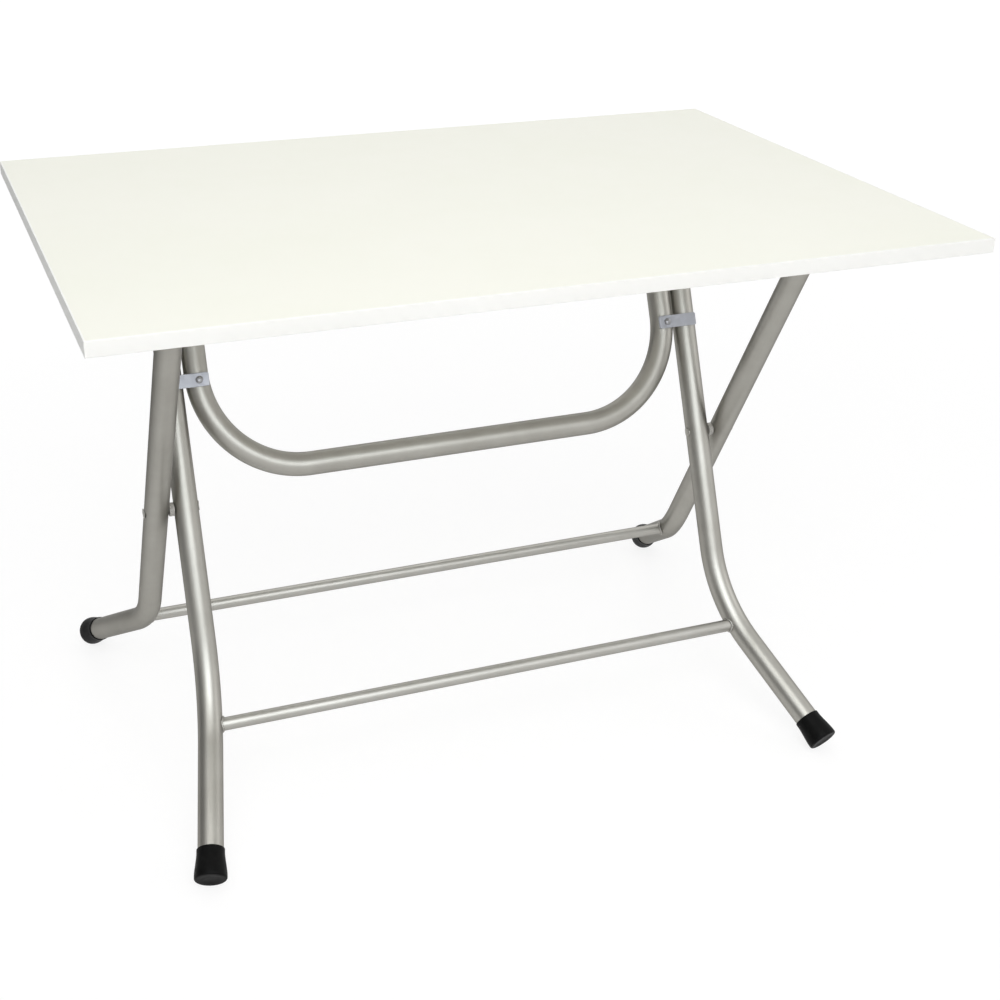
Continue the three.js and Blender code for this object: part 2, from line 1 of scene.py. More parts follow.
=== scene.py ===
"""The looks of a folding table: a laminated board on two crossed frames of bent steel tube.

Metres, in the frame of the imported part: X along the long edge, Y from the near edge to the far edge,
Z up from the floor. Each sub-assembly is a class that holds its sizes, builds its pieces as closed
surfaces worked out with numpy, and dresses them in a finish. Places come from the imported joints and
boxes, so every piece lies where its solid lies and moves with the same body.
"""

import json
import logging
from dataclasses import dataclass, field
from enum import Enum
from typing import Sequence

import bpy
import numpy as np
from mathutils import Euler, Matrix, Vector
from numpy.typing import NDArray


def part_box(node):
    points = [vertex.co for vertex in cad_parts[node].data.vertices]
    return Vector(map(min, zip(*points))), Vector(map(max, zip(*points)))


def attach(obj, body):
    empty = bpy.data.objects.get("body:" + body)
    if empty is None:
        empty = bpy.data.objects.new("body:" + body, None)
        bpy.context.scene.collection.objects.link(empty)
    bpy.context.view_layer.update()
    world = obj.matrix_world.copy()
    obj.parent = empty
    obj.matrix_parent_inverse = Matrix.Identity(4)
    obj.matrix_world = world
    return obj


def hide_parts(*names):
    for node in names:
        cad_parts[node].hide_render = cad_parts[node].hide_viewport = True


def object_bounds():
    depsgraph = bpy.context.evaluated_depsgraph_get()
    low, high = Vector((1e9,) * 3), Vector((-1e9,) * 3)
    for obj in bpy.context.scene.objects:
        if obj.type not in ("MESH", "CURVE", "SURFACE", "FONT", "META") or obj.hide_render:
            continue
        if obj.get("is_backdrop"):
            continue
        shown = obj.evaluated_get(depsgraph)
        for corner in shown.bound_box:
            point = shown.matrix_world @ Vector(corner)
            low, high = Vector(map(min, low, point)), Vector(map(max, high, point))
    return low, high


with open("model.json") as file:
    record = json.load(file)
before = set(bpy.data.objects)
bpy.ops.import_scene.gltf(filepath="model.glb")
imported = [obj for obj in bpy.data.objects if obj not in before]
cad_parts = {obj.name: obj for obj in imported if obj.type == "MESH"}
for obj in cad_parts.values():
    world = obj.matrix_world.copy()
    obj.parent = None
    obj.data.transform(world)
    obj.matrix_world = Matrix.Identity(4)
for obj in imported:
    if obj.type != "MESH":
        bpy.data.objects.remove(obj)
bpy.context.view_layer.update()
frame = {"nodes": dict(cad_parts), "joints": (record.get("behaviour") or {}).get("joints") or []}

Floats = NDArray[np.float64]
Ints = NDArray[np.int64]
Triple = tuple[float, float, float]
Pair = tuple[float, float]
Socket = bpy.types.NodeSocket

log = logging.getLogger("folding_table")

MM = 0.001
SHARP_ANGLE = np.radians(38.0)
CLEAR = 0.3 * MM
TINY = 1e-6
SAME_DIGITS = 7
WHITE = (1.0, 1.0, 1.0)


# -------- vectors, angles and grids


def unit(vectors: Floats) -> Floats:
    """Scales each vector to a length of one."""
    return vectors / np.linalg.norm(vectors, axis=-1, keepdims=True)


def turn_about_x(angle: float) -> Floats:
    """The matrix that turns a column vector about the X axis."""
    c, s = np.cos(angle), np.sin(angle)
    return np.array([[1.0, 0.0, 0.0], [0.0, c, -s], [0.0, s, c]])


def basis_along(axis: Floats, beside: Floats) -> Floats:
    """A right-handed set of axes whose third column is the axis given.

    Args:
        axis: The direction that a turned piece's own Z takes.
        beside: Any other direction. The first column is as near it as it can be.

    Returns:
        A matrix whose columns are the three axes.
    """
    up = unit(axis)
    first = unit(beside - np.dot(beside, up) * up)
    return np.column_stack([first, np.cross(up, first), up])


X, Y, Z = np.eye(3)
ALONG_X = basis_along(X, Y)


def full_turn(steps: int) -> Floats:
    """Angles once round, each the same step on from the last."""
    return np.linspace(0.0, 2 * np.pi, steps, endpoint=False)


def quarter_turn(steps: int) -> Floats:
    """Angles from nothing to a right angle, both ends included."""
    return np.linspace(0.0, np.pi / 2, steps + 1)


def points_of(*parts: Floats | float) -> Floats:
    """Puts coordinates side by side as the last axis, each spread to the shape of the others."""
    return np.stack(np.broadcast_arrays(*parts), axis=-1)


def about_z(radius: Floats | float, angle: Floats, height: Floats) -> Floats:
    """Points at a radius and an angle round the Z axis: (radius cos, radius sin, height)."""
    return points_of(radius * np.cos(angle), radius * np.sin(angle), height)


def lattice(rows: int, columns: int, close_rows: bool) -> Ints:
    """Quads between neighbouring points of a grid that are numbered row by row.

    Args:
        rows: How many rows of points there are.
        columns: How many points a row has. A row always closes on itself.
        close_rows: Whether the last row joins the first.

    Returns:
        One quad for each cell, turned so that it faces out when the rows run along the axis.
    """
    i = np.arange(rows if close_rows else rows - 1)[:, None]
    j = np.arange(columns)[None, :]
    below, above = i * columns, ((i + 1) % rows) * columns
    after = (j + 1) % columns
    return points_of(below + j, below + after, above + after, above + j).reshape(-1, 4)


def eased(profile: Floats, radius: float | Floats, steps: int = 4, closed: bool = False) -> Floats:
    """Rounds the corners of a profile.

    Each corner gives way to a short parabola that leaves the corner's two sides at the same distance
    from it: (1 - k)^2 times the start, plus 2k(1 - k) times the corner, plus k^2 times the end.

    Args:
        profile: The corners in order, as (n, 2).
        radius: How far back from each corner the rounding starts, one for all or one for each.
        steps: How many steps each rounding takes.
        closed: Whether the last corner joins the first.

    Returns:
        The rounded profile. The ends of an open one stay where they are.
    """
    longest = 0.48
    into, out = np.roll(profile, 1, axis=0) - profile, np.roll(profile, -1, axis=0) - profile
    reach_in, reach_out = np.linalg.norm(into, axis=1), np.linalg.norm(out, axis=1)
    back = np.minimum(np.broadcast_to(radius, len(profile)), longest * np.minimum(reach_in, reach_out))
    start = profile + into * (back / reach_in)[:, None]
    end = profile + out * (back / reach_out)[:, None]
    k = np.linspace(0.0, 1.0, steps + 1)[None, :, None]
    curve = (1 - k) ** 2 * start[:, None] + 2 * k * (1 - k) * profile[:, None] + k**2 * end[:, None]
    if closed:
        return curve.reshape(-1, 2)
    return np.concatenate([profile[:1], curve[1:-1].reshape(-1, 2), profile[-1:]])


# -------- closed surfaces


@dataclass
class Skin:
    """A closed surface: points, quads, triangles, and each point's place on the unrolled piece."""

    points: Floats
    quads: Ints
    tris: Ints = field(default_factory=lambda: np.zeros((0, 3), np.int64))
    flow: Floats | None = None

    def __post_init__(self) -> None:
        """Lists the points of a grid, which are the unrolled places too where none are given."""
        self.points = self.points.reshape(-1, 3)
        self.flow = self.points if self.flow is None else self.flow.reshape(-1, 3)

    @classmethod
    def capped(cls, rings: Floats, low: Sequence[float], high: Sequence[float]) -> "Skin":
        """Closes a stack of rings with a fan of triangles round a pole at each end.

        Args:
            rings: The rings, as (rows, columns, 3).
            low: The pole of the first ring.
            high: The pole of the last ring.

        Returns:
            The closed skin.
        """
        rows, columns = rings.shape[:2]
        j = np.arange(columns)
        after, pole, last = (j + 1) % columns, rows * columns, (rows - 1) * columns
        tris = np.concatenate([points_of(pole, after, j), points_of(last + j, last + after, pole + 1)])
        return cls(np.concatenate([rings.reshape(-1, 3), [low, high]]), lattice(rows, columns, False), tris)

    @classmethod
    def joined(cls, skins: Sequence["Skin"]) -> "Skin":
        """Puts several closed skins into one piece.

        Args:
            skins: The skins.

        Returns:
            One skin with all their faces.
        """
        starts = np.cumsum([0] + [len(skin.points) for skin in skins[:-1]])
        return cls(
            np.concatenate([skin.points for skin in skins]),
            np.concatenate([skin.quads + start for skin, start in zip(skins, starts)]),
            np.concatenate([skin.tris + start for skin, start in zip(skins, starts)]),
            np.concatenate([skin.flow for skin in skins]),
        )

    def turned(self, axes: Floats) -> "Skin":
        """The same skin, turned by the axes given."""
        return Skin(self.points @ axes.T, self.quads, self.tris, self.flow)

    def shifted(self, shift: Sequence[float]) -> "Skin":
        """The same skin, moved by a vector."""
        return Skin(self.points + np.asarray(shift, float), self.quads, self.tris, self.flow)

    def flipped(self) -> "Skin":
        """The same skin with every face turned to its other side."""
        return Skin(self.points, self.quads[:, ::-1], self.tris[:, ::-1], self.flow)

    def mirrored(self) -> "Skin":
        """The mirror image across the plane X = 0, with its faces still pointing out."""
        flipped = self.flipped()
        return Skin(self.points * [-1.0, 1.0, 1.0], flipped.quads, flipped.tris, self.flow)

    def without_spares(self) -> "Skin":
        """Drops the points that no face uses.

        Returns:
            The same skin without them.
        """
        used = np.unique(np.concatenate([self.quads.ravel(), self.tris.ravel()]))
        place = np.zeros(len(self.points), np.int64)
        place[used] = np.arange(len(used))
        return Skin(self.points[used], place[self.quads], place[self.tris], self.flow[used])

    def mesh(self, name: str) -> bpy.types.Mesh:
        """Puts the skin into a new mesh, smooth apart from its sharp edges.

        Args:
            name: The mesh's name.

        Returns:
            The mesh, with the unrolled places in the attribute flow.
        """
        mesh = bpy.data.meshes.new(name)
        quads, tris = self.quads, self.tris
        mesh.vertices.add(len(self.points))
        mesh.vertices.foreach_set("co", self.points.astype(np.float32).ravel())
        mesh.loops.add(quads.size + tris.size)
        corners = np.concatenate([quads.ravel(), tris.ravel()]).astype(np.int32)
        mesh.loops.foreach_set("vertex_index", corners)
        mesh.polygons.add(len(quads) + len(tris))
        starts = np.concatenate([np.arange(len(quads)) * 4, quads.size + np.arange(len(tris)) * 3])
        mesh.polygons.foreach_set("loop_start", starts.astype(np.int32))
        mesh.update(calc_edges=True)
        mesh.validate()
        flow = mesh.attributes.new("flow", "FLOAT_VECTOR", "POINT")
        flow.data.foreach_set("vector", self.flow.astype(np.float32).ravel())
        mesh.polygons.foreach_set("use_smooth", np.ones(len(mesh.polygons), bool))
        mesh.set_sharp_from_angle(angle=SHARP_ANGLE)
        return mesh


def lathed(profile: Floats, sides: int, closed: bool = False) -> Skin:
    """Carries a profile once round the Z axis.

    A profile point (d, r) at angle a lies at (r cos a, r sin a, d). A closed profile makes a ring,
    and an open one starts and ends on the axis, where its first and last point become poles.

    Args:
        profile: (distance along the axis, radius) pairs, with the outside run in the axis direction.
        sides: How many steps the turn takes.
        closed: Whether the profile is a loop.

    Returns:
        The closed skin, along Z.
    """
    rings = profile if closed else profile[1:-1]
    points = about_z(rings[:, 1:], full_turn(sides), rings[:, :1])
    if closed:
        return Skin(points, lattice(len(rings), sides, True))
    return Skin.capped(points, [0.0, 0.0, profile[0, 0]], [0.0, 0.0, profile[-1, 0]])


def ring(
    start: float, end: float, outside: float, bore: float, ease: float = 0.4 * MM, sides: int = 56
) -> Skin:
    """A spacer or washer along X with rounded corners, from its start to its end."""
    profile = np.array([[start, bore / 2], [start, outside / 2], [end, outside / 2], [end, bore / 2]])
    return lathed(eased(profile, ease, closed=True), sides, closed=True).turned(ALONG_X)


@dataclass(frozen=True)
class Plate:
    """A flat plate with round corners and softened edges, centred on the origin."""

    width: float
    depth: float
    thickness: float
    corner: float
    edge: float
    corner_steps: int = 8
    edge_steps: int = 4

    def skin(self, hole: Triple | None = None) -> Skin:
        """Lays out the plate and, if wanted, one round hole.

        The outline is a rectangle whose corner arcs keep their middles and lose the inset from their
        radius. Rows of it climb the edge: each has an inset of edge (1 - cos b) and a height of
        edge (1 - sin b) from the face, for b from a right angle to nothing and back. One more row
        lies flat inside each face, so that the faces shade flat. They run from it straight in to
        the hole's rim, or to a point in the middle.

        Args:
            hole: The hole's middle in X and Y, and its radius.

        Returns:
            The closed skin.
        """
        steps, edge, half = self.corner_steps, self.edge, self.thickness / 2
        angle = quarter_turn(steps)[None, :] + np.arange(4)[:, None] * np.pi / 2
        sign = np.array([[1, 1], [-1, 1], [-1, -1], [1, -1]])[:, None, :]
        reach = [self.width / 2 - self.corner, self.depth / 2 - self.corner]
        middle = np.repeat(sign * reach, steps + 1, axis=1).reshape(-1, 2)
        spoke = points_of(np.cos(angle), np.sin(angle)).reshape(-1, 2)
        b = quarter_turn(self.edge_steps)
        climb = np.concatenate([edge * (1 - np.cos(b)), [2 * edge]])
        drop = np.concatenate([edge * (1 - np.sin(b)), [0.0]])
        inset = np.concatenate([climb[::-1], climb])[:, None, None]
        height = np.concatenate([drop[::-1] - half, half - drop])[:, None]
        around = middle + (self.corner - inset) * spoke
        points = points_of(around[..., 0], around[..., 1], height)
        if hole is None:
            return Skin.capped(points, [0.0, 0.0, -half], [0.0, 0.0, half])
        x, y, radius = hole
        bearing = np.arctan2(around[0, :, 1] - y, around[0, :, 0] - x)
        rim = about_z(radius, bearing, np.array([[half], [-half]])) + [x, y, 0.0]
        points = np.concatenate([points, rim])
        return Skin(points, lattice(len(points), len(bearing), True))


# -------- bent tubes


@dataclass(frozen=True)
class Run:
    """One straight or round stretch of a centre line. A straight one has no bend radius."""

    start: float
    end: float
    origin: Floats
    heading: Floats
    side: Floats
    radius: float | None

    def at(self, distance: Floats) -> tuple[Floats, Floats]:
        """The points and directions at distances measured from the start of the whole line.

        A straight run is its origin plus the distance times its heading. A bend adds radius times
        sin(angle) along the heading and radius times (1 - cos(angle)) to its side.

        Args:
            distance: Distances along the whole line.

        Returns:
            Points and unit directions, one row for each distance.
        """
        d = (distance - self.start)[..., None]
        if self.radius is None:
            return self.origin + d * self.heading, np.broadcast_to(self.heading, d.shape[:-1] + (3,))
        cos, sin = np.cos(d / self.radius), np.sin(d / self.radius)
        points = self.origin + self.radius * (sin * self.heading + (1 - cos) * self.side)
        return points, cos * self.heading + sin * self.side


class BentLine:
    """A centre line in one plane: straight runs with a round bend at each inner corner."""

    def __init__(self, corners: Sequence[Sequence[float]], radius: float) -> None:
        """Lays out the runs.

        Args:
            corners: Where the straight runs would meet if they weren't rounded off, and both ends.
            radius: The radius of every bend.
        """
        corner = np.asarray(corners, float)
        heading = unit(np.diff(corner, axis=0))
        turn = np.arccos(np.clip(np.sum(heading[:-1] * heading[1:], axis=1), -1.0, 1.0))
        back = radius * np.tan(turn / 2)
        self.normal = unit(np.cross(heading[0], heading[1]))
        self.runs: list[Run] = []
        place, origin = 0.0, corner[0]
        for i, (angle, cut) in enumerate(zip(turn, back)):
            bend_start = corner[i + 1] - heading[i] * cut
            reach = place + float(np.linalg.norm(bend_start - origin))
            side = unit(heading[i + 1] - np.dot(heading[i + 1], heading[i]) * heading[i])
            bend = Run(reach, reach + radius * angle, bend_start, heading[i], side, radius)
            self.runs += [Run(place, reach, origin, heading[i], side, None), bend]
            place, origin = bend.end, corner[i + 1] + heading[i + 1] * cut
        self.length = place + float(np.linalg.norm(corner[-1] - origin))
        self.runs.append(Run(place, self.length, origin, heading[-1], heading[-1], None))

    def at(self, distance: Floats) -> tuple[Floats, Floats]:
        """The points and directions at distances along the line, each from the run that it lies on.

        Args:
            distance: Distances from the start of the line.

        Returns:
            Points and unit directions, one row for each distance.
        """
        points, headings = np.empty(distance.shape + (3,)), np.empty(distance.shape + (3,))
        for run in self.runs:
            low = -np.inf if run is self.runs[0] else run.start
            high = np.inf if run is self.runs[-1] else run.end
            here = (distance >= low) & (distance <= high)
            points[here], headings[here] = run.at(distance[here])
        return points, headings

    def on_first_bend(self, share: float) -> tuple[Floats, Floats]:
        """The point and direction at a share, from 0 to 1, of the way round the first bend."""
        bend = self.runs[1]
        return bend.at(np.array(bend.start + share * (bend.end - bend.start)))

    def stations(self, straight_step: float, bend_step: float) -> Floats:
        """Distances at which a tube needs a ring, closer in the bends than in the straight runs.

        Args:
            straight_step: The longest step in a straight run.
            bend_step: The longest step in a bend.

        Returns:
            The distances, rising.
        """
        steps = [straight_step if run.radius is None else bend_step for run in self.runs]
        counts = [2 + int((run.end - run.start) / step) for run, step in zip(self.runs, steps)]
        parts = [np.linspace(run.start, run.end, count) for run, count in zip(self.runs, counts)]
        return np.unique(np.round(np.concatenate(parts), SAME_DIGITS))


@dataclass(frozen=True)
class WallHole:
    """A round hole in one side of a tube, centred at a distance along it and facing a direction."""

    at: float
    towards: Triple
    radius: float


@dataclass(frozen=True)
class TubeStock:
    """Round steel tube as it is bought: its size and how finely its skin is stepped."""

    diameter: float = 32 * MM
    wall: float = 1.5 * MM
    rim: float = 0.45 * MM
    rim_reach: float = 3.0
    rim_room: float = 1.5
    sides: int = 64
    straight_step: float = 30 * MM
    bend_step: float = 5 * MM
    hole_cells: int = 3
    hole_margin: float = 1.08
    hole_clearing: float = 1.3

    @property
    def radius(self) -> float:
        """Half the diameter."""
        return self.diameter / 2

    def stations(self, line: BentLine, holes: Sequence[WallHole]) -> Floats:
        """Distances of the wall's rings, with a few close together at each hole.

        Args:
            line: The centre line.
            holes: The holes in the wall.

        Returns:
            The distances, rising, clear of both rims.
        """
        steps = np.arange(-self.hole_cells, self.hole_cells + 1)
        made = line.stations(self.straight_step, self.bend_step)
        for hole in holes:
            reach = hole.radius * self.hole_margin
            made = made[np.abs(made - hole.at) > reach * self.hole_clearing]
            made = np.concatenate([made, hole.at + steps * reach / self.hole_cells])
        room = self.rim_room * self.rim
        return np.unique(made[(made > room) & (made < line.length - room)])

    def bent(self, line: BentLine, holes: Sequence[WallHole]) -> Skin:
        """Carries the tube's wall along a centre line, with holes through the wall.

        Args:
            line: The centre line.
            holes: The holes, each in one side of the wall and in a straight run.

        Returns:
            The closed skin.
        """
        wall = WallGrid(self, line, self.stations(line, holes))
        for hole in holes:
            wall.cut(hole)
        return wall.skin()


class WallGrid:
    """The wall of a bent tube, as a grid of distances along its line and angles round it.

    The rows run along the outside, round the far rim, back along the inside and round the near rim.
    """

    def __init__(self, stock: TubeStock, line: BentLine, stations: Floats) -> None:
        """Lays out the rows and the columns.

        Args:
            stock: The tube's sizes.
            line: Its centre line.
            stations: The distances of the rows between the rims.
        """
        self.stock, self.line, self.stations = stock, line, stations
        count, sides = len(stations), stock.sides
        outer, inner, reach = stock.radius, stock.radius - stock.wall, stock.rim_reach * stock.rim
        end = np.array([[reach, inner], [0.0, inner], [0.0, outer], [reach, outer]])
        near_rim = eased(end, stock.rim)[1:-1]
        far_rim = near_rim[::-1] * [-1.0, 1.0] + [line.length, 0.0]
        along = np.concatenate([near_rim[:, 0], stations, far_rim[:, 0], stations[::-1]])
        out, back = np.full(count, outer), np.full(count, inner)
        self.radius = np.concatenate([near_rim[:, 1], out, far_rim[:, 1], back])[:, None]
        second = np.cross(line.at(np.array(0.0))[1], line.normal)
        self.step = 2 * np.pi / sides
        self.phase = np.arctan2(X @ second, X @ line.normal) % self.step
        self.s, self.a = np.meshgrid(along, self.phase + full_turn(sides), indexing="ij")
        self.quads = lattice(len(along), sides, True).reshape(len(along), sides, 4)
        self.keep = np.ones(self.quads.shape[:2], bool)
        self.bridges: list[Ints] = []
        self.faces = (
            (len(near_rim) + np.arange(count), outer),
            (len(along) - 1 - np.arange(count), inner),
        )

    def cut(self, hole: WallHole) -> None:
        """Cuts a hole through the wall and bridges its two edges.

        The rim of a square block of cells takes the hole's circle: distance along goes by rho cos t,
        and angle by asin(rho sin t / r).

        Args:
            hole: The hole, in a straight run.
        """
        cells, sides = self.stock.hole_cells, self.stock.sides
        steps = np.arange(-cells, cells + 1)
        i, j = np.concatenate([
            points_of(steps[:-1], -cells), points_of(cells, steps[:-1]),
            points_of(steps[:0:-1], cells), points_of(-cells, steps[:0:-1]),
        ]).T
        theta = np.arctan2(j, i)
        second = np.cross(self.line.at(np.array(hole.at))[1], self.line.normal)
        facing = np.arctan2(np.dot(hole.towards, second), np.dot(hole.towards, self.line.normal))
        column = int(np.round((facing - self.phase) / self.step))
        middle = int(np.argmin(np.abs(self.stations - hole.at)))
        columns = (column + j) % sides
        edges = []
        for rows, radius in self.faces:
            edge = rows[middle + i]
            self.s[edge, columns] = hole.at + hole.radius * np.cos(theta)
            self.a[edge, columns] = facing + np.arcsin(hole.radius * np.sin(theta) / radius)
            edges.append(edge * sides + columns)
            inside = np.minimum(rows[middle + steps[:-1]], rows[middle + steps[1:]])
            self.keep[np.ix_(inside, (column + steps[:-1]) % sides)] = False
        out, back = edges
        self.bridges.append(points_of(np.roll(out, -1), out, back, np.roll(back, -1)))

    def skin(self) -> Skin:
        """Carries the grid along the line.

        A point at distance s and angle a, with radius r, is the line's point at s, plus r times
        (cos a times the first section axis plus sin a times the second).

        Returns:
            The closed skin.
        """
        centre, heading = self.line.at(self.s)
        second = np.cross(heading, self.line.normal)
        cos, sin = np.cos(self.a)[..., None], np.sin(self.a)[..., None]
        points = centre + self.radius[..., None] * (cos * self.line.normal + sin * second)
        quads = np.concatenate([self.quads[self.keep], *self.bridges])
        return Skin(points, quads, flow=about_z(self.radius, self.a, self.s)).without_spares()


@dataclass(frozen=True)
class Meeting:
    """Where a crossbar meets the right leg, in the frame's own axes.

    The span is from the middle to the leg's own plane. The place is where the bar's axis crosses the
    leg's axis, measured from that plane, and the heading is the leg's unit direction there.
    """

    span: float
    place: Floats
    heading: Floats
    leg_radius: float

    def side_at(self, offset: Floats) -> Floats:
        """The X at which lines along X meet the round side of the leg.

        A point of the leg's side is at the leg's radius from its axis: for p = offset + x X, the
        length of p squared less (p . heading) squared is the radius squared. That is a quadratic in
        x, and its lower root is on the side of the table's middle.

        Args:
            offset: Where each line passes, from the place, with no part along X.

        Returns:
            The X of each line's end.
        """
        along = offset @ self.heading
        square = 1.0 - self.heading[0] ** 2
        linear = -2.0 * self.heading[0] * along
        rest = np.sum(offset**2, axis=-1) - along**2 - self.leg_radius**2
        root = (-linear - np.sqrt(linear**2 - 4 * square * rest)) / (2 * square)
        return self.span + self.place[0] + root


@dataclass(frozen=True)
class BarStock:
    """The thin round tube of a crossbar and the weld that holds it."""

    diameter: float = 17 * MM
    wall: float = 1.2 * MM
    sides: int = 48
    rows: int = 25
    end_shares: Triple = (0.0, 0.004, 0.03)
    bead: float = 1.5 * MM
    bead_out: float = 0.3
    bead_sides: int = 14
    bead_steps: int = 144
    ripple: Pair = (0.13, 26.0)
    wobble: Triple = (0.06, 5.0, 1.0)

    def coped(self, meeting: Meeting) -> Skin:
        """A straight tube between two legs, its ends coped to their round sides.

        The wall at angle a ends where a line along X through (r cos a, r sin a) meets the right leg,
        and at the mirror image of that on the left. A share t from 0 to 1 runs between the two.

        Args:
            meeting: Where its right end meets the leg.

        Returns:
            The closed skin, in the frame's own axes.
        """
        tip, rim, first = self.end_shares
        share = np.concatenate([[tip, rim], np.linspace(first, 1 - first, self.rows), [1 - rim, 1 - tip]])
        share = np.concatenate([share, share[::-1]])
        outer = self.diameter / 2
        radius = np.repeat([outer, outer - self.wall], len(share) // 2)[:, None]
        angle = full_turn(self.sides)
        offset = points_of(0.0, radius * np.cos(angle), radius * np.sin(angle))
        x = meeting.side_at(offset) * (2 * share[:, None] - 1)
        y, z = offset[..., 1], offset[..., 2]
        points = points_of(x, meeting.place[1] + y, meeting.place[2] + z)
        return Skin(points, lattice(len(share), self.sides, True), flow=points_of(y, z, x))

    def weld(self, meeting: Meeting) -> Skin:
        """The bead of weld round the right end of a crossbar.

        Its centre follows the saddle where the bar meets the leg. A section of it is a circle whose
        radius swells and shrinks a little as the welder's hand moved on: bead times 1 plus a ripple
        of sin(n a) plus a slower wobble of the same kind.

        Args:
            meeting: Where the bar's right end meets the leg.

        Returns:
            The closed skin of the right bead, in the frame's own axes.
        """
        angle, psi = full_turn(self.bead_steps)[:, None], full_turn(self.bead_sides)
        saddle = self.diameter / 2 + self.bead_out * self.bead
        x = meeting.side_at(points_of(0.0, np.cos(angle), np.sin(angle)) * saddle) - self.bead_out * self.bead
        (swell, ripples), (sway, wobbles, phase) = self.ripple, self.wobble
        size = self.bead * (1 + swell * np.sin(ripples * angle) + sway * np.sin(wobbles * angle + phase))
        out = saddle + size * np.sin(psi)
        y, z = meeting.place[1] + out * np.cos(angle), meeting.place[2] + out * np.sin(angle)
        return Skin(points_of(x - size * np.cos(psi), y, z), lattice(self.bead_steps, self.bead_sides, True))


# -------- finishes


@dataclass(frozen=True)
class Grain:
    """A noise: how fine it is, how many finer layers it has, and how strong those are."""

    scale: float
    detail: float = 3.0
    rough: float = 0.5


class Sketch:
    """The node tree of a material or a world while it is being laid out."""

    def __init__(self, owner: bpy.types.Material | bpy.types.World) -> None:
        """Starts from the one shader that a new material or world has.

        Args:
            owner: The new material or world.
        """
        owner.use_nodes = True
        self.owner = owner
        self.nodes, self.links = owner.node_tree.nodes, owner.node_tree.links
        self.shader = self.nodes.get("Principled BSDF") or self.nodes["Background"]

    def node(self, kind: str, inputs: dict | None = None, **settings: object) -> bpy.types.Node:
        """Adds a node.

        Args:
            kind: Its type, without the ShaderNode at the front.
            inputs: What goes into its sockets by name or number: a value, or another node's socket.
            settings: Its own properties.

        Returns:
            The new node.
        """
        made = self.nodes.new("ShaderNode" + kind)
        for key, value in settings.items():
            setattr(made, key, value)
        for key, value in (inputs or {}).items():
            self.feed(made.inputs[key], value)
        return made

    def feed(self, socket: Socket, value: object) -> None:
        """Links a socket to another node's, or sets its value.

        Args:
            socket: The socket to feed.
            value: Another node's socket, or a plain value.
        """
        if isinstance(value, Socket):
            self.links.new(value, socket)
        else:
            socket.default_value = value

    def shade(self, **inputs: object) -> None:
        """Feeds the shader's sockets, with underscores for the blanks in their names."""
        for key, value in inputs.items():
            self.feed(self.shader.inputs[key.replace("_", " ")], value)

    def object_place(self) -> Socket:
        """A point's place in the part, in metres."""
        return self.node("TexCoord").outputs["Object"]

    def stretched(self, place: Socket, stretch: Triple) -> Socket:
        """A place stretched along each axis."""
        return self.node("Mapping", {"Vector": place, "Scale": stretch}).outputs["Vector"]

    def flow_place(self, stretch: Triple) -> Socket:
        """A point's place on its unrolled piece, stretched along each axis."""
        return self.stretched(self.node("Attribute", attribute_name="flow").outputs["Vector"], stretch)

    def noise(self, place: Socket, grain: Grain) -> Socket:
        """Noise from 0 to 1 at a place."""
        inputs = {"Vector": place, "Scale": grain.scale, "Detail": grain.detail, "Roughness": grain.rough}
        return self.node("TexNoise", inputs).outputs["Fac"]

    def cells(self, place: Socket, scale: float) -> tuple[Socket, bpy.types.NodeOutputs]:
        """Crystals or chips: how far a point is from the middle of its own, and the tones of that one."""
        made = self.node("TexVoronoi", {"Vector": place, "Scale": scale, "Randomness": 1.0}).outputs
        return made["Distance"], self.node("SeparateColor", {"Color": made["Color"]}).outputs

    def spread(
        self, value: Socket, low: float, high: float, begin: float = 0.3, end: float = 0.7, **settings: object
    ) -> Socket:
        """Spreads a value between two limits, which it reaches at its beginning and its end."""
        inputs = {"Value": value, "From Min": begin, "From Max": end, "To Min": low, "To Max": high}
        return self.node("MapRange", inputs, **settings).outputs["Result"]

    def worked_out(self, operation: str, first: Socket, second: Socket) -> Socket:
        """One value from two, by a named operation."""
        return self.node("Math", {0: first, 1: second}, operation=operation).outputs["Value"]

    def between(self, share: Socket, first: Sequence[float], second: Sequence[float]) -> Socket:
        """A colour between two, by a share from 0 to 1."""
        inputs = {0: share, 6: (*first, 1.0), 7: (*second, 1.0)}
        return self.node("Mix", inputs, data_type="RGBA").outputs[2]

    def either(self, share: Socket, first: Socket | float, second: Socket | float) -> Socket:
        """The first value where the share is 0, and the second where it is 1."""
        return self.node("Mix", {0: share, 2: first, 3: second}, data_type="FLOAT").outputs[0]

    def relief(
        self, height: Socket, depth: float, strength: float = 1.0, under: Socket | None = None
    ) -> Socket:
        """A bumped normal.

        Args:
            height: The relief from 0 to 1.
            depth: How deep it is, in metres.
            strength: How much of it shows.
            under: A normal that it lies on.

        Returns:
            The new normal.
        """
        inputs = {"Height": height, "Distance": depth, "Strength": strength}
        if under is not None:
            inputs["Normal"] = under
        return self.node("Bump", inputs).outputs["Normal"]


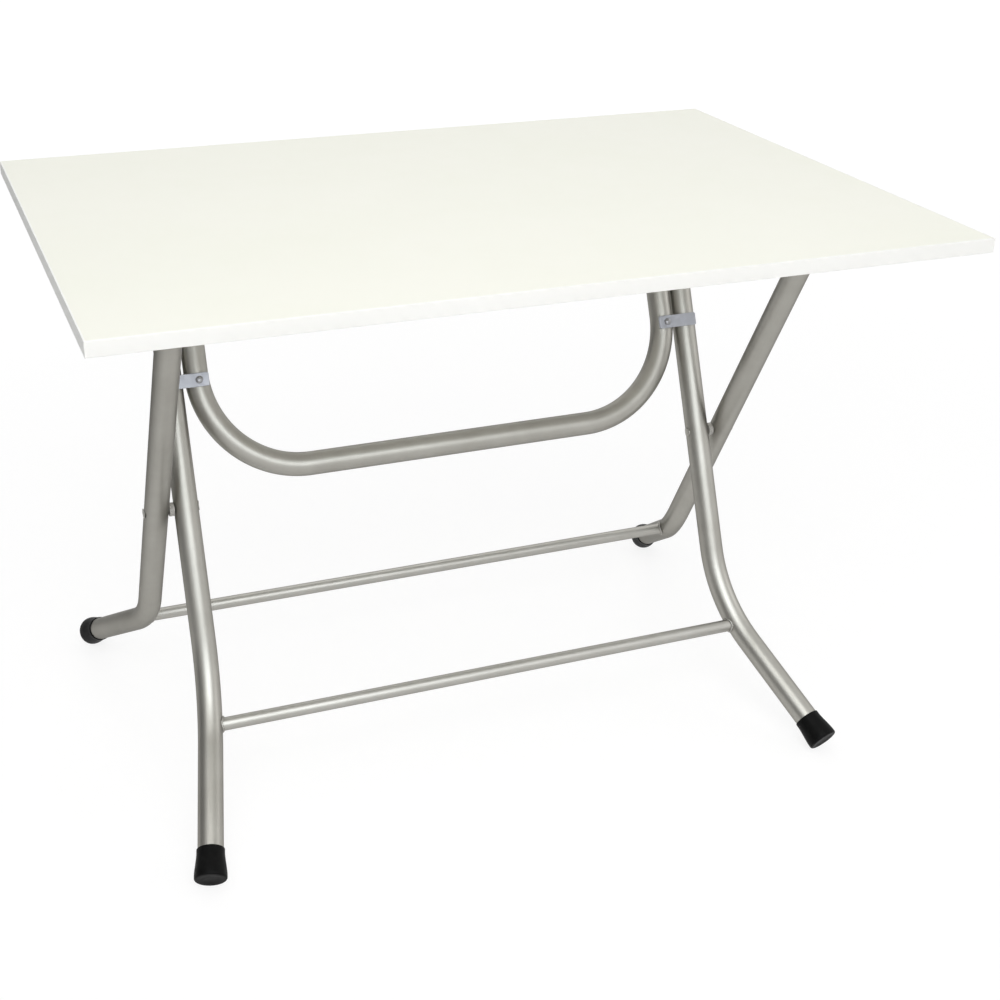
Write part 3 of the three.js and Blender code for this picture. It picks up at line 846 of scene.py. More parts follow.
@dataclass(frozen=True)
class Finish:
    """What every finish has: its slot in the record, a name, two shades, and a roughness that wanders."""

    slot: str
    name: str
    colour: Triple
    shade: Triple
    roughness: float
    wander: Pair = (-0.04, 0.05)

    def make(self) -> bpy.types.Material:
        """Makes the material.

        Returns:
            The new material.
        """
        sketch = Sketch(bpy.data.materials.new(self.name))
        self.lay_out(sketch, sketch.object_place())
        return sketch.owner

    def lay_out(self, sketch: Sketch, place: Socket) -> None:
        """Feeds the material's shader from the place in the part. Each kind of finish has its own way."""
        raise NotImplementedError

    def tint(self, sketch: Sketch, share: Socket, *reach: float) -> Socket:
        """A colour between the two shades, by a value spread over its reach."""
        return sketch.between(sketch.spread(share, 0.0, 1.0, *reach), self.colour, self.shade)

    def dullness(self, sketch: Sketch, share: Socket, *reach: float) -> Socket:
        """A roughness that wanders round the finish's own, by a value spread over its reach."""
        low, high = self.wander
        return sketch.spread(share, self.roughness + low, self.roughness + high, *reach)


@dataclass(frozen=True)
class Grained(Finish):
    """A surface with clouds of its second shade and a fine grain.

    Its roughness wanders with the clouds, or in patches of its own where it has them.
    """

    metallic: float = 0.0
    gloss: float = 0.5
    clouds: Grain = Grain(420.0)
    cloud_reach: Pair = (0.3, 0.7)
    patches: Grain | None = None
    grain: Grain = Grain(3000.0, 2.0)
    relief: Pair = (0.01 * MM, 0.7)

    def lay_out(self, sketch: Sketch, place: Socket) -> None:
        """Gives the surface its clouds, its patches and its grain.

        Args:
            sketch: The material's tree.
            place: The place in the part.
        """
        clouds, grain = sketch.noise(place, self.clouds), sketch.noise(place, self.grain)
        patches = sketch.noise(place, self.patches) if self.patches else clouds
        sketch.shade(
            Base_Color=self.tint(sketch, clouds, *self.cloud_reach),
            Metallic=self.metallic,
            Roughness=self.dullness(sketch, patches),
            Specular_IOR_Level=self.gloss,
            Normal=sketch.relief(grain, *self.relief),
        )


@dataclass(frozen=True)
class SheetPlastic(Grained):
    """A printed or pressed plastic sheet: faint clouds of colour and a fine pearl in the surface."""

    gloss: float = 0.42
    clouds: Grain = Grain(4.0, 2.0)
    patches: Grain | None = Grain(30.0)
    grain: Grain = Grain(1400.0, 2.0, 0.6)
    relief: Pair = (0.012 * MM, 1.0)


@dataclass(frozen=True)
class TurnedMetal(Grained):
    """A pressed or turned fastener: cloudy metal with a fine grain."""

    wander: Pair = (-0.06, 0.1)
    metallic: float = 1.0


@dataclass(frozen=True)
class MouldedRubber(Grained):
    """Moulded rubber or nylon: an even body, scuffs and a fine spark-eroded grain."""

    wander: Pair = (-0.06, 0.08)
    gloss: float = 0.08
    clouds: Grain = Grain(90.0, 5.0, 0.7)
    cloud_reach: Pair = (0.55, 0.8)
    grain: Grain = Grain(2000.0, 2.0)
    relief: Pair = (0.03 * MM, 0.5)


@dataclass(frozen=True)
class SatinTube(Finish):
    """Silver-painted steel tube: fine flakes, faint long lines, a slight mottle and darker grazes."""

    metallic: float = 0.95
    graze: float = 0.36
    stretch: float = 0.02
    lines: Grain = Grain(900.0, 3.0, 0.65)
    line_relief: Pair = (0.01 * MM, 0.4)
    mottle: Grain = Grain(22.0, 4.0, 0.6)
    flakes: Grain = Grain(2600.0, 1.0)
    flake_relief: Pair = (0.012 * MM, 0.5)

    def lay_out(self, sketch: Sketch, place: Socket) -> None:
        """Gives the tube its mottle, its flakes and, over them, its lines.

        Args:
            sketch: The material's tree.
            place: The place in the part.
        """
        lines = sketch.noise(sketch.flow_place((1.0, 1.0, self.stretch)), self.lines)
        mottle, flakes = sketch.noise(place, self.mottle), sketch.noise(place, self.flakes)
        flaked = sketch.relief(flakes, *self.flake_relief)
        sketch.shade(
            Base_Color=self.tint(sketch, mottle),
            Metallic=self.metallic,
            Roughness=self.dullness(sketch, lines),
            Specular_Tint=(self.graze, self.graze, self.graze, 1.0),
            Normal=sketch.relief(lines, *self.line_relief, flaked),
        )


@dataclass(frozen=True)
class ZincSheet(Finish):
    """Zinc on pressed steel sheet: soft crystals and rolling lines."""

    wander: Pair = (-0.05, 0.09)
    crystals: float = 230.0
    tone_reach: Pair = (0.0, 1.0)
    blur: Grain = Grain(160.0)
    blur_reach: Pair = (0.0, 0.7)
    stretch: float = 0.03
    rolling: Grain = Grain(1200.0)
    rolling_relief: Pair = (0.01 * MM, 0.5)

    def lay_out(self, sketch: Sketch, place: Socket) -> None:
        """Gives the sheet its crystals and its rolling lines.

        Args:
            sketch: The material's tree.
            place: The place in the part.
        """
        tone = sketch.cells(place, self.crystals)[1]["Red"]
        blurred = sketch.worked_out("MULTIPLY", tone, sketch.noise(place, self.blur))
        rolled = sketch.noise(sketch.stretched(place, (1.0, 1.0, self.stretch)), self.rolling)
        sketch.shade(
            Base_Color=self.tint(sketch, blurred, *self.blur_reach),
            Metallic=1.0,
            Roughness=self.dullness(sketch, tone, *self.tone_reach),
            Normal=sketch.relief(rolled, *self.rolling_relief),
        )


@dataclass(frozen=True)
class ChipBoard(Finish):
    """Raw particle board: pressed chips of two shades with dark joints between them."""

    wander: Pair = (0.0, 0.15)
    chips: float = 520.0
    tone_reach: Pair = (0.0, 1.0)
    chip_relief: Pair = (0.15 * MM, 0.8)

    def lay_out(self, sketch: Sketch, place: Socket) -> None:
        """Gives the board its chips.

        Args:
            sketch: The material's tree.
            place: The place in the part.
        """
        distance, tones = sketch.cells(place, self.chips)
        sketch.shade(
            Base_Color=sketch.between(tones["Green"], self.colour, self.shade),
            Roughness=self.dullness(sketch, tones["Green"], *self.tone_reach),
            Normal=sketch.relief(distance, *self.chip_relief),
        )


class Coat(Enum):
    """The finishes of the table, one for each kind of surface."""

    LAMINATE = SheetPlastic(
        "top_laminate", "warm_white_laminate", (0.88, 0.88, 0.795), (0.865, 0.87, 0.775), 0.40,
    )
    EDGE = SheetPlastic(
        "edging", "white_edge_band", (0.90, 0.90, 0.875), (0.885, 0.885, 0.855), 0.34,
        grain=Grain(900.0, 2.0, 0.6),
    )
    BACKER = SheetPlastic(
        "underside_backer", "backing_foil", (0.89, 0.88, 0.83), (0.86, 0.85, 0.80), 0.6,
        grain=Grain(700.0, 2.0, 0.6), relief=(0.03 * MM, 1.0),
    )
    CORE = ChipBoard("tabletop_core", "particle_board", (0.62, 0.45, 0.25), (0.42, 0.28, 0.14), 0.8)
    TUBE = SatinTube("tube", "satin_silver_tube", (0.405, 0.394, 0.362), (0.365, 0.354, 0.322), 0.4)
    BAR = SatinTube("tube", "satin_silver_bar", (0.44, 0.43, 0.40), (0.40, 0.39, 0.36), 0.42)
    PLATE = ZincSheet("plate", "dull_zinc_sheet", (0.36, 0.37, 0.40), (0.42, 0.43, 0.47), 0.46)
    FASTENER = TurnedMetal("fastener", "zinc_fastener", (0.36, 0.36, 0.37), (0.27, 0.27, 0.28), 0.34)
    RIVET = TurnedMetal("fastener", "painted_rivet", (0.405, 0.394, 0.362), (0.365, 0.354, 0.322), 0.38)
    WELD = TurnedMetal("tube", "weld_bead", (0.46, 0.45, 0.42), (0.30, 0.29, 0.27), 0.38)
    SPACER = MouldedRubber(
        "spacer", "grey_nylon", (0.40, 0.39, 0.365), (0.48, 0.47, 0.44), 0.4,
        gloss=0.4, relief=(0.015 * MM, 0.5),
    )
    RUBBER = MouldedRubber("rubber", "black_rubber", (0.003, 0.003, 0.003), (0.009, 0.009, 0.0085), 0.5)

    def dress(self, *pieces: bpy.types.Object) -> None:
        """Gives every piece this finish, in place of what it had.

        Args:
            pieces: The objects.
        """
        material = bpy.data.materials.get(self.value.name) or self.value.make()
        for piece in pieces:
            piece.data.materials.clear()
            piece.data.materials.append(material)

    def show(self, name: str, skin: Skin, body: str, *nodes: str) -> None:
        """Makes a skin a piece of the scene that has this finish and rides on a body.

        Args:
            name: The piece's name.
            skin: Its closed surface, in the frame of the part.
            body: The body that it moves with.
            nodes: The solids that it stands for.
        """
        piece = bpy.data.objects.new(name, skin.mesh(name))
        bpy.context.scene.collection.objects.link(piece)
        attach(piece, body)
        if nodes:
            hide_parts(*nodes)
        self.dress(piece)
        log.info("%s: %d points, rides on %s", name, len(skin.points), body)

    def show_pair(self, name: str, skin: Skin, body: str, stands_for: bool = True) -> None:
        """Shows a right piece and its mirror image.

        Args:
            name: The pair's name. The pieces and the solids that they stand for end in _right and _left.
            skin: The right piece's closed surface.
            body: The body that both move with.
            stands_for: Whether they replace the pair of solids of the same name.
        """
        for side, half in (("right", skin), ("left", skin.mirrored())):
            node = f"{name}_{side}"
            self.show(f"{node}_skin", half, body, *([node] if stands_for else []))


# -------- where the linkage lies


def joint_place(name: str) -> Floats:
    """Where a joint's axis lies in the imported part."""
    return next(np.array(joint["pos_m"], float) for joint in frame["joints"] if joint["name"] == name)


def box_of(node: str) -> tuple[Floats, Floats]:
    """The lowest and highest corner of a solid."""
    low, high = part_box(node)
    return np.array(low, float), np.array(high, float)


def span_to(node: str) -> float:
    """The distance from the table's middle to the middle of a solid on its right side."""
    low, high = box_of(node)
    return float(low[0] + high[0]) / 2


@dataclass(frozen=True)
class Linkage:
    """The hinge lines, the crossing and the side planes of the tubes, as packed."""

    near_hinge: Floats
    crossing: Floats
    far_hinge: Floats
    outer_span: float
    inner_span: float
    brace_span: float

    def lean_to(self, hinge: Floats) -> float:
        """The turn about X that carries straight up onto the line from the crossing to a hinge."""
        reach = hinge - self.crossing
        return float(-np.arctan2(reach[1], reach[2]))

    @property
    def outer_reach(self) -> float:
        """From the near hinge to the crossing."""
        return float(np.linalg.norm(self.near_hinge - self.crossing))

    @property
    def inner_reach(self) -> float:
        """From the far hinge to the crossing."""
        return float(np.linalg.norm(self.far_hinge - self.crossing))

    @property
    def inner_link(self) -> float:
        """From the crossing to the brace's pivot, such that the table folds flat."""
        # The hinges are then as far apart as the outer reach plus the brace's link less this one.
        span = float(self.far_hinge[1] - self.near_hinge[1])
        return self.inner_reach - (span - self.outer_reach + self.inner_reach) / 2

    @property
    def brace_link(self) -> float:
        """From the far hinge to the brace's pivot."""
        return self.inner_reach - self.inner_link


LINKAGE = Linkage(
    *map(joint_place, ("outer_fold", "inner_fold", "brace_fold")),
    *map(span_to, ("outer_leg_plug_right", "inner_leg_plug_right", "brace_arm_plug_right")),
)
TUBE = TubeStock()
TUBE_TIP = 14 * MM
PIN_BORE = 4.3 * MM


# -------- the board


def carried_along_x(section: Floats, stations: Floats, limit: Floats) -> Skin:
    """Carries a section straight along X and closes both ends.

    A point of the row at a station has that X, the section's Z, and the smaller of the section's Y
    and the limit there.

    Args:
        section: The closed outline as (y, z), going round from +Y towards +Z.
        stations: The X of each row, rising.
        limit: The largest Y that the section may have at each station, which rounds the end corners.

    Returns:
        The closed skin.
    """
    rows = points_of(stations[:, None], np.minimum(section[:, 0], limit[:, None]), section[:, 1])
    return Skin.capped(rows, rows[0].mean(axis=0), rows[-1].mean(axis=0))


@dataclass(frozen=True)
class Board:
    """The laminated board: two faces, a particle-board core and four edge bands."""

    sheet_corner: float = 0.5 * MM
    sheet_edge: float = 0.12 * MM
    sheet_steps: int = 4
    band: float = 2 * MM
    band_round: float = 1.12 * MM
    band_crease: float = 0.02 * MM
    band_steps: int = 6
    end_round: float = 0.7 * MM
    end_steps: int = 6

    def build(self) -> None:
        """Builds and dresses the sheets and the bands."""
        low, high = box_of("top_laminate")
        sheet = Plate(*(high - low), self.sheet_corner, self.sheet_edge, self.sheet_steps).skin()
        Coat.LAMINATE.show("top_laminate_sheet", sheet.shifted((high + low) / 2), "tabletop", "top_laminate")
        Coat.CORE.dress(frame["nodes"]["tabletop_core"])
        Coat.BACKER.dress(frame["nodes"]["underside_backer"])
        for quarters, side in enumerate(("far", "left", "near", "right")):
            self.edge(side, quarters * np.pi / 2)

    def edge(self, side: str, turn: float) -> None:
        """Builds one edge band. The long ones cover the ends of the short ones and are rounded there.

        Args:
            side: Which edge it covers.
            turn: The turn about Z that carries the far band's place onto this one's.
        """
        node = f"edge_band_{side}"
        low, high = box_of(node)
        long_side = side in ("far", "near")
        length, _, thickness = (high - low)[[0, 1, 2] if long_side else [1, 0, 2]]
        corners = np.array([[0.0, 0.0], [self.band, 0.0], [self.band, thickness], [0.0, thickness]])
        backs = np.array([self.band_crease, self.band_round, self.band_round, self.band_crease])
        section = eased(corners, backs, self.band_steps, closed=True)
        b = quarter_turn(self.end_steps) if long_side else np.array([np.pi / 2])
        tip = self.end_round if long_side else 0.0
        start, limit = tip * (1 - np.cos(b)) - length / 2, self.band - tip * (1 - np.sin(b))
        stations = np.concatenate([start, [0.0], -start[::-1]])
        strip = carried_along_x(section, stations, np.concatenate([limit, [self.band], limit[::-1]]))
        c, s = np.cos(turn), np.sin(turn)
        axes = np.array([[c, -s, 0.0], [s, c, 0.0], [0.0, 0.0, 1.0]])
        outward = axes @ Y
        inner_face = min(low @ outward, high @ outward)
        strip = strip.turned(axes).shifted(inner_face * outward + low[2] * Z)
        Coat.EDGE.show(f"{node}_strip", strip, "tabletop", node)


# -------- caps, plugs and fasteners


@dataclass(frozen=True)
class FootCap:
    """A bell-shaped rubber cap that stands on its rim."""

    sleeve: float = 34.8 * MM
    flare: float = 40.5 * MM
    length: float = 38 * MM
    base: float = 10 * MM
    neck: float = 6 * MM
    bell: float = 0.35
    bell_steps: int = 24
    skirt: float = 4 * MM
    rim: float = 2.5 * MM
    lip: float = 0.7 * MM
    dish: float = 0.8 * MM
    dish_shares: Pair = (0.55, 0.68)
    round_steps: tuple[int, int] = (8, 4)
    sides: int = 96

    def outside(self) -> Floats:
        """The outside as (distance up the leg, radius).

        The rim is a quarter circle and the skirt is straight. Above it the radius falls from flare to
        sleeve along a mix of a straight taper and half a cosine wave, and the sleeve ends in a lip.

        Returns:
            The profile from the sole to the top of the sleeve.
        """
        sleeve, flare = self.sleeve / 2, self.flare / 2
        a, b = map(quarter_turn, self.round_steps)
        rim = points_of(self.rim * (1 - np.cos(a)), flare - self.rim + self.rim * np.sin(a))
        t = np.linspace(0.0, 1.0, self.bell_steps + 1)
        start = self.rim + self.skirt
        rise = self.length - self.neck - start
        fall = (1 - self.bell) * (1 - t) + self.bell * (1 + np.cos(np.pi * t)) / 2
        bell = points_of(start + rise * t, sleeve + (flare - sleeve) * fall)
        lip = self.lip * points_of(np.sin(b), np.cos(b)) + [self.length - self.lip, sleeve - self.lip]
        return np.concatenate([rim, bell, lip])

    def centre_height(self, slope: float) -> float:
        """Height of the middle of the sole when the rim's lowest point is on the floor."""
        up, radius = self.outside().T
        return float(np.max(radius * np.cos(slope) - up * np.sin(slope)))

    def skin(self) -> Skin:
        """Carries the outside, the dished sole and the bore over the tube once round the leg.

        Returns:
            The cap along Z, with the middle of its sole at the origin.
        """
        inside = TUBE.radius + CLEAR
        dish, foot = np.array(self.dish_shares) * self.flare / 2
        sole = np.array([[self.dish, 0.0], [self.dish, dish], [0.0, foot]])
        bore = np.array([[self.length, inside], [self.base, inside], [self.base, 0.0]])
        return lathed(np.concatenate([sole, self.outside(), bore]), self.sides)


@dataclass(frozen=True)
class EndPlug:
    """A plug in a tube's open end, with its flange on the end face."""

    flange: float = 2.2 * MM
    crown: float = 0.2 * MM
    insert: float = 9 * MM
    chamfer: float = 1 * MM
    ease: float = 0.8 * MM
    ease_steps: int = 5
    sides: int = 64

    def skin(self) -> Skin:
        """Carries the insert and the flange once round the tube's axis.

        Returns:
            The plug along Z, with the tube's end face at the origin.
        """
        outside = TUBE.radius - self.chamfer / 2
        insert = TUBE.radius - TUBE.wall - CLEAR
        low, top = CLEAR, CLEAR + self.flange
        profile = np.array([
            [low - self.insert, 0.0],
            [low - self.insert, insert - self.chamfer],
            [low - self.insert + self.chamfer, insert],
            [low, insert],
            [low, outside],
            [top, outside],
            [top + self.crown, 0.0],
        ])
        return lathed(eased(profile, self.ease, self.ease_steps), self.sides)


HEAD_STEPS = 10
TAIL_STEPS = 5


class Head(Enum):
    """How a pin or rivet ends, as (diameter, height, whether it is domed all over)."""

    DOMED = (15 * MM, 3.6 * MM, True)
    LOW_DOME = (15 * MM, 2.6 * MM, True)
    FLAT = (13 * MM, 0.8 * MM, False)
    SMALL = (10 * MM, 2.4 * MM, True)
    TAIL = (0.0, 0.6 * MM, False)

    def profile(self, shank: float) -> Floats:
        """The head as (height above its seat, radius), from the axis down to the shank.

        A dome is an ellipse: radius times cos b at height times sin b. A flat head has a round of
        its own height on its corner, and a tail is the shank's end with its corner rounded.

        Args:
            shank: The shank's radius.

        Returns:
            The profile.
        """
        diameter, height, domed = self.value
        radius = diameter / 2
        if self is Head.TAIL:
            b = quarter_turn(TAIL_STEPS)[::-1]
            return height * points_of(np.sin(b), np.cos(b)) + [-height, shank - height]
        b = quarter_turn(HEAD_STEPS)[::-1]
        if domed:
            curve = points_of(height * np.sin(b), radius * np.cos(b))[1:]
        else:
            curve = points_of(height * np.sin(b), radius - height * (1 - np.cos(b)))
        return np.concatenate([curve, [[0.0, shank]]])


@dataclass(frozen=True)
class Pin:
    """A round pin or rivet along X, with a head at each end of its shank."""

    near: Head
    far: Head
    start: float
    end: float
    diameter: float = 8 * MM
    sides: int = 48

    def skin(self) -> Skin:
        """Carries both heads' profiles once round the axis.

        Returns:
            The pin, with its shank from start to end.
        """
        low = self.near.profile(self.diameter / 2) * [-1.0, 1.0] + [self.start, 0.0]
        high = self.far.profile(self.diameter / 2) + [self.end, 0.0]
        poles = np.array([[low[0, 0] - TINY, 0.0], [high[0, 0] + TINY, 0.0]])
        return lathed(np.concatenate([poles[:1], low, high[::-1], poles[1:]]), self.sides).turned(ALONG_X)

    def saddled(self, radius: float) -> Skin:
        """Presses the near head onto the round tube along Z that it sits on.

        Past the seat, a point that lies w to the side of the tube's axis drops by r - sqrt(r^2 - w^2),
        the depth of the tube's own side there. The far head stays flat, so that it can turn.

        Args:
            radius: The tube's radius.

        Returns:
            The pin with a curved near head.
        """
        skin = self.skin()
        w = np.minimum(np.abs(skin.points[:, 1]), radius / 2)
        past = skin.points[:, 0] <= self.start + TINY
        drop = np.where(past, radius - np.sqrt(radius**2 - w**2), 0.0)
        return Skin(skin.points + drop[:, None] * X, skin.quads, skin.tris, skin.flow)


@dataclass(frozen=True)
class HexNut:
    """A hexagon nut with its corners turned down at both ends."""

    across: float = 13 * MM
    height: float = 5.5 * MM
    bore: float = 2 * PIN_BORE
    sides: int = 96
    turned_down: float = 0.8 * MM
    turn_steps: tuple[float, ...] = (0.0, 0.1875, 0.375, 0.5625, 0.75, 1.0)
    turn_power: float = 0.6
    bore_chamfer: float = 0.5 * MM

    def skin(self) -> Skin:
        """Works out the nut row by row, up the outside and back through the hole.

        At angle a the flat's distance is (across / 2) / cos(a folded into one flat). The corners are
        turned down: at a share of the way down the turned part, the radius may not pass half the
        width across the flats plus the share's power of what the corners stand out further.

        Returns:
            The nut along X with its seat at the origin, growing towards -X.
        """
        angle = full_turn(self.sides)
        folded = (angle + np.pi / 6) % (np.pi / 3) - np.pi / 6
        flat, share = self.across / 2, np.array(self.turn_steps)
        limit = flat + (self.across / np.sqrt(3) - flat) * share**self.turn_power
        end = np.minimum(flat / np.cos(folded), limit[:, None])
        drop, c = self.turned_down * share, self.bore_chamfer
        hole = np.broadcast_to(self.bore / 2 + np.array([[c], [0.0], [0.0], [c]]), (4, self.sides))
        radius = np.concatenate([end, end[::-1], hole])
        along = np.concatenate([drop, self.height - drop[::-1], [self.height, self.height - c, c, 0.0]])
        points = about_z(radius, angle, along[:, None])
        return Skin(points, lattice(len(radius), self.sides, True)).turned(basis_along(-X, Y))


@dataclass(frozen=True)
class PanScrew:
    """A pan-head screw with a cross recess."""

    radius: float = 4.4 * MM
    height: float = 2.6 * MM
    fall: float = 0.62
    first_share: float = 0.03
    head_rows: int = 22
    slot_depth: float = 1.5 * MM
    slot_half: Pair = (0.62 * MM, 0.3 * MM)
    slot_reach: Pair = (2.4 * MM, 0.6 * MM)
    shank_radius: float = 2.1 * MM
    shank: float = 3.0 * MM
    sides: int = 72

    def skin(self) -> Skin:
        """Works out the head from its middle outwards, and then its underside and a short shank.

        The head is a dome whose height falls as the fourth power of the radius share, less a cross:
        the smaller of |x| and |y| inside half the slot's width, out to the slot's reach, each by a
        smooth step.

        Returns:
            The screw with its head along -Z and the head's underside at the origin.
        """
        angle, share = full_turn(self.sides), np.linspace(self.first_share, 1.0, self.head_rows)[:, None]
        x, y = self.radius * share * np.cos(angle), self.radius * share * np.sin(angle)
        across, along = np.minimum(np.abs(x), np.abs(y)), np.maximum(np.abs(x), np.abs(y))
        (half, half_step), (reach, reach_step) = self.slot_half, self.slot_reach
        slot = np.clip((half - across) / half_step, 0, 1) * np.clip((reach - along) / reach_step, 0, 1)
        dome = self.height * (1 - self.fall * share**4)
        top = dome - self.slot_depth * slot * slot * (3 - 2 * slot)
        low = np.array([[self.radius, 0.0], [self.shank_radius, 0.0], [self.shank_radius, -self.shank]])
        radius = np.concatenate([self.radius * share, low[:, :1]])
        z = np.concatenate([top, np.broadcast_to(low[:, 1:], (len(low), self.sides))])
        made = Skin.capped(about_z(radius, angle, z), [0.0, 0.0, top[0].min()], [0.0, 0.0, -self.shank])
        return made.flipped().turned(basis_along(-Z, X))


# -------- the frames


@dataclass(frozen=True)
class LegShape:
    """How a frame's legs are bent, and which way their feet point."""

    towards: int
    bend_height: float
    bend_radius: float
    slope: float
    splay: float

    def lay_out(self, lean: float, origin_height: float, from_top: float) -> tuple[BentLine, Floats, Floats]:
        """Lays out the right leg in the frame's own axes, where -Z runs down the straight part.

        Args:
            lean: The frame's turn about X.
            origin_height: The height of the frame's origin.
            from_top: The distance from the origin up to the open end.

        Returns:
            The centre line, the foot's direction and the middle of the cap's sole.
        """
        slope, splay = np.radians(self.slope), np.radians(self.splay)
        foot = turn_about_x(-lean) @ np.array([
            np.cos(slope) * np.sin(splay),
            self.towards * np.cos(slope) * np.cos(splay),
            -np.sin(slope),
        ])
        corner = np.array([0.0, 0.0, -(origin_height - self.bend_height) / np.cos(lean)])
        cap = FootCap()
        sole = corner + foot * (self.bend_height - cap.centre_height(slope)) / np.sin(slope)
        tube_end = sole - foot * (cap.base + CLEAR)
        return BentLine([[0.0, 0.0, from_top], corner, tube_end], self.bend_radius), foot, sole


@dataclass
class Frame:
    """One of the two crossed frames: a pair of legs, their plugs and caps, and a welded crossbar."""

    name: str
    shape: LegShape
    lean: float
    origin: Floats
    half_span: float
    from_top: float
    pin_heights: Pair
    bar: BarStock = BarStock()
    bar_share: float = 0.8

    def placed(self, skin: Skin, x: float = 0.0, z: float = 0.0) -> Skin:
        """Moves a piece from the frame's own axes into the part."""
        return skin.shifted((x, 0.0, z)).turned(turn_about_x(self.lean)).shifted(self.origin)

    def build(self) -> None:
        """Builds and dresses every piece of the frame."""
        line, foot, sole = self.shape.lay_out(self.lean, float(self.origin[2]), self.from_top)
        body, span = f"{self.name}_frame", self.half_span
        holes = [
            WallHole(self.from_top - height, (side, 0.0, 0.0), PIN_BORE)
            for height in self.pin_heights
            for side in (1.0, -1.0)
        ]
        Coat.TUBE.show_pair(f"{self.name}_leg", self.placed(TUBE.bent(line, holes), span), body)
        plug = self.placed(EndPlug().skin(), span, self.from_top)
        Coat.RUBBER.show_pair(f"{self.name}_leg_plug", plug, body)
        cap = FootCap().skin().turned(basis_along(-foot, X)).shifted(sole)
        Coat.RUBBER.show_pair(f"{self.name}_foot_cap", self.placed(cap, span), body)
        meeting = Meeting(span, *line.on_first_bend(self.bar_share), TUBE.radius + CLEAR)
        name = f"{self.name}_crossbar"
        Coat.BAR.show(f"{name}_skin", self.placed(self.bar.coped(meeting)), body, name)
        Coat.WELD.show_pair(f"{name}_weld", self.placed(self.bar.weld(meeting)), body, stands_for=False)


@dataclass(frozen=True)
class Crossing:
    """The rivets, spacers and washers that join the inner frame to the outer one and to the brace."""

    spacer: float = 7 * MM
    arm_gap: float = 3 * MM
    spacer_diameter: float = 18 * MM
    washer_ease: float = 0.25 * MM

    def build(self, inner: Frame, link: float) -> None:
        """Builds and dresses the fasteners.

        Args:
            inner: The frame that carries them.
            link: The distance from the crossing up to the brace's pivot.
        """
        side, body, span = TUBE.radius + CLEAR, "inner_frame", inner.half_span
        far_seat = TUBE.radius + self.spacer + TUBE.diameter + CLEAR
        rivet = Pin(Head.FLAT, Head.FLAT, -side, far_seat).saddled(TUBE.radius)
        Coat.RIVET.show_pair("crossing_rivet", inner.placed(rivet, span), body)
        spacer = ring(side, side + self.spacer - 2 * CLEAR, self.spacer_diameter, 2 * PIN_BORE)
        Coat.SPACER.show_pair("crossing_spacer", inner.placed(spacer, span), body)
        gap_end = side + self.arm_gap - 2 * CLEAR
        pivot = Pin(Head.TAIL, Head.LOW_DOME, -gap_end, side).skin()
        Coat.FASTENER.show_pair("brace_pivot_rivet", inner.placed(pivot, span, link), body)
        washer = ring(-gap_end, -side, self.spacer_diameter, 2 * PIN_BORE, self.washer_ease)
        Coat.SPACER.show_pair("brace_pivot_washer", inner.placed(washer, span, link), body)


@dataclass
class LockBrace:
    """The U of tube that hangs on the far hinges, with a stop strap riveted to each arm."""

    half_span: float
    bar_distance: float = 336 * MM
    bend_radius: float = 138 * MM
    strap_below: float = 53 * MM
    strap_height: float = 18 * MM
    strap_thickness: float = 3 * MM
    strap_past: float = 13 * MM
    strap_on_leg: float = 10 * MM
    strap_corner: float = 2.5 * MM
    strap_edge: float = 0.5 * MM
    rivet_diameter: float = 5 * MM
    rivet_bore: float = 2.8 * MM
    rivet_tail: float = 1.2 * MM

    def placed(self, skin: Skin, *shift: float) -> Skin:
        """Moves a piece from the brace's own axes into the part."""
        lean = turn_about_x(LINKAGE.lean_to(LINKAGE.far_hinge))
        return skin.shifted(shift or (0.0, 0.0, 0.0)).turned(lean).shifted(LINKAGE.far_hinge)

    def build(self, inner_span: float) -> None:
        """Builds and dresses every piece of the brace.

        Args:
            inner_span: The distance of the inner legs from the middle, which the straps reach to.
        """
        h, low, body = self.half_span, -self.bar_distance, "lock_brace"
        line = BentLine([[-h, 0, TUBE_TIP], [-h, 0, low], [h, 0, low], [h, 0, TUBE_TIP]], self.bend_radius)
        strap_z = -LINKAGE.brace_link - self.strap_below
        ends = ((TUBE_TIP, 1.0), (line.length - TUBE_TIP, -1.0))
        holes = [WallHole(at, (side, 0.0, 0.0), PIN_BORE) for at, _ in ends for side in (1.0, -1.0)]
        holes += [WallHole(at - sign * strap_z, (0.0, -1.0, 0.0), self.rivet_bore) for at, sign in ends]
        Coat.TUBE.show("brace_tube_skin", self.placed(TUBE.bent(line, holes)), body, "brace_tube")
        Coat.RUBBER.show_pair("brace_arm_plug", self.placed(EndPlug().skin(), h, 0.0, TUBE_TIP), body)

        seat, thick = TUBE.radius + CLEAR, self.strap_thickness
        length = self.strap_past + inner_span - h + self.strap_on_leg
        hole_x = -length / 2 + self.strap_past
        strap = Plate(length, self.strap_height, thick, self.strap_corner, self.strap_edge)
        upright = strap.skin((hole_x, 0.0, self.rivet_bore)).turned(basis_along(-Y, X))
        Coat.PLATE.show_pair("stop_strap", self.placed(upright, h - hole_x, -seat - thick / 2, strap_z), body)
        depth = thick + CLEAR + TUBE.wall + self.rivet_tail + CLEAR
        rivet = Pin(Head.TAIL, Head.SMALL, -depth, 0.0, self.rivet_diameter).skin()
        rivet = self.placed(rivet.turned(np.column_stack([-Y, X, Z])), h, -seat - thick - CLEAR, strap_z)
        Coat.FASTENER.show_pair("strap_rivet", rivet, body)


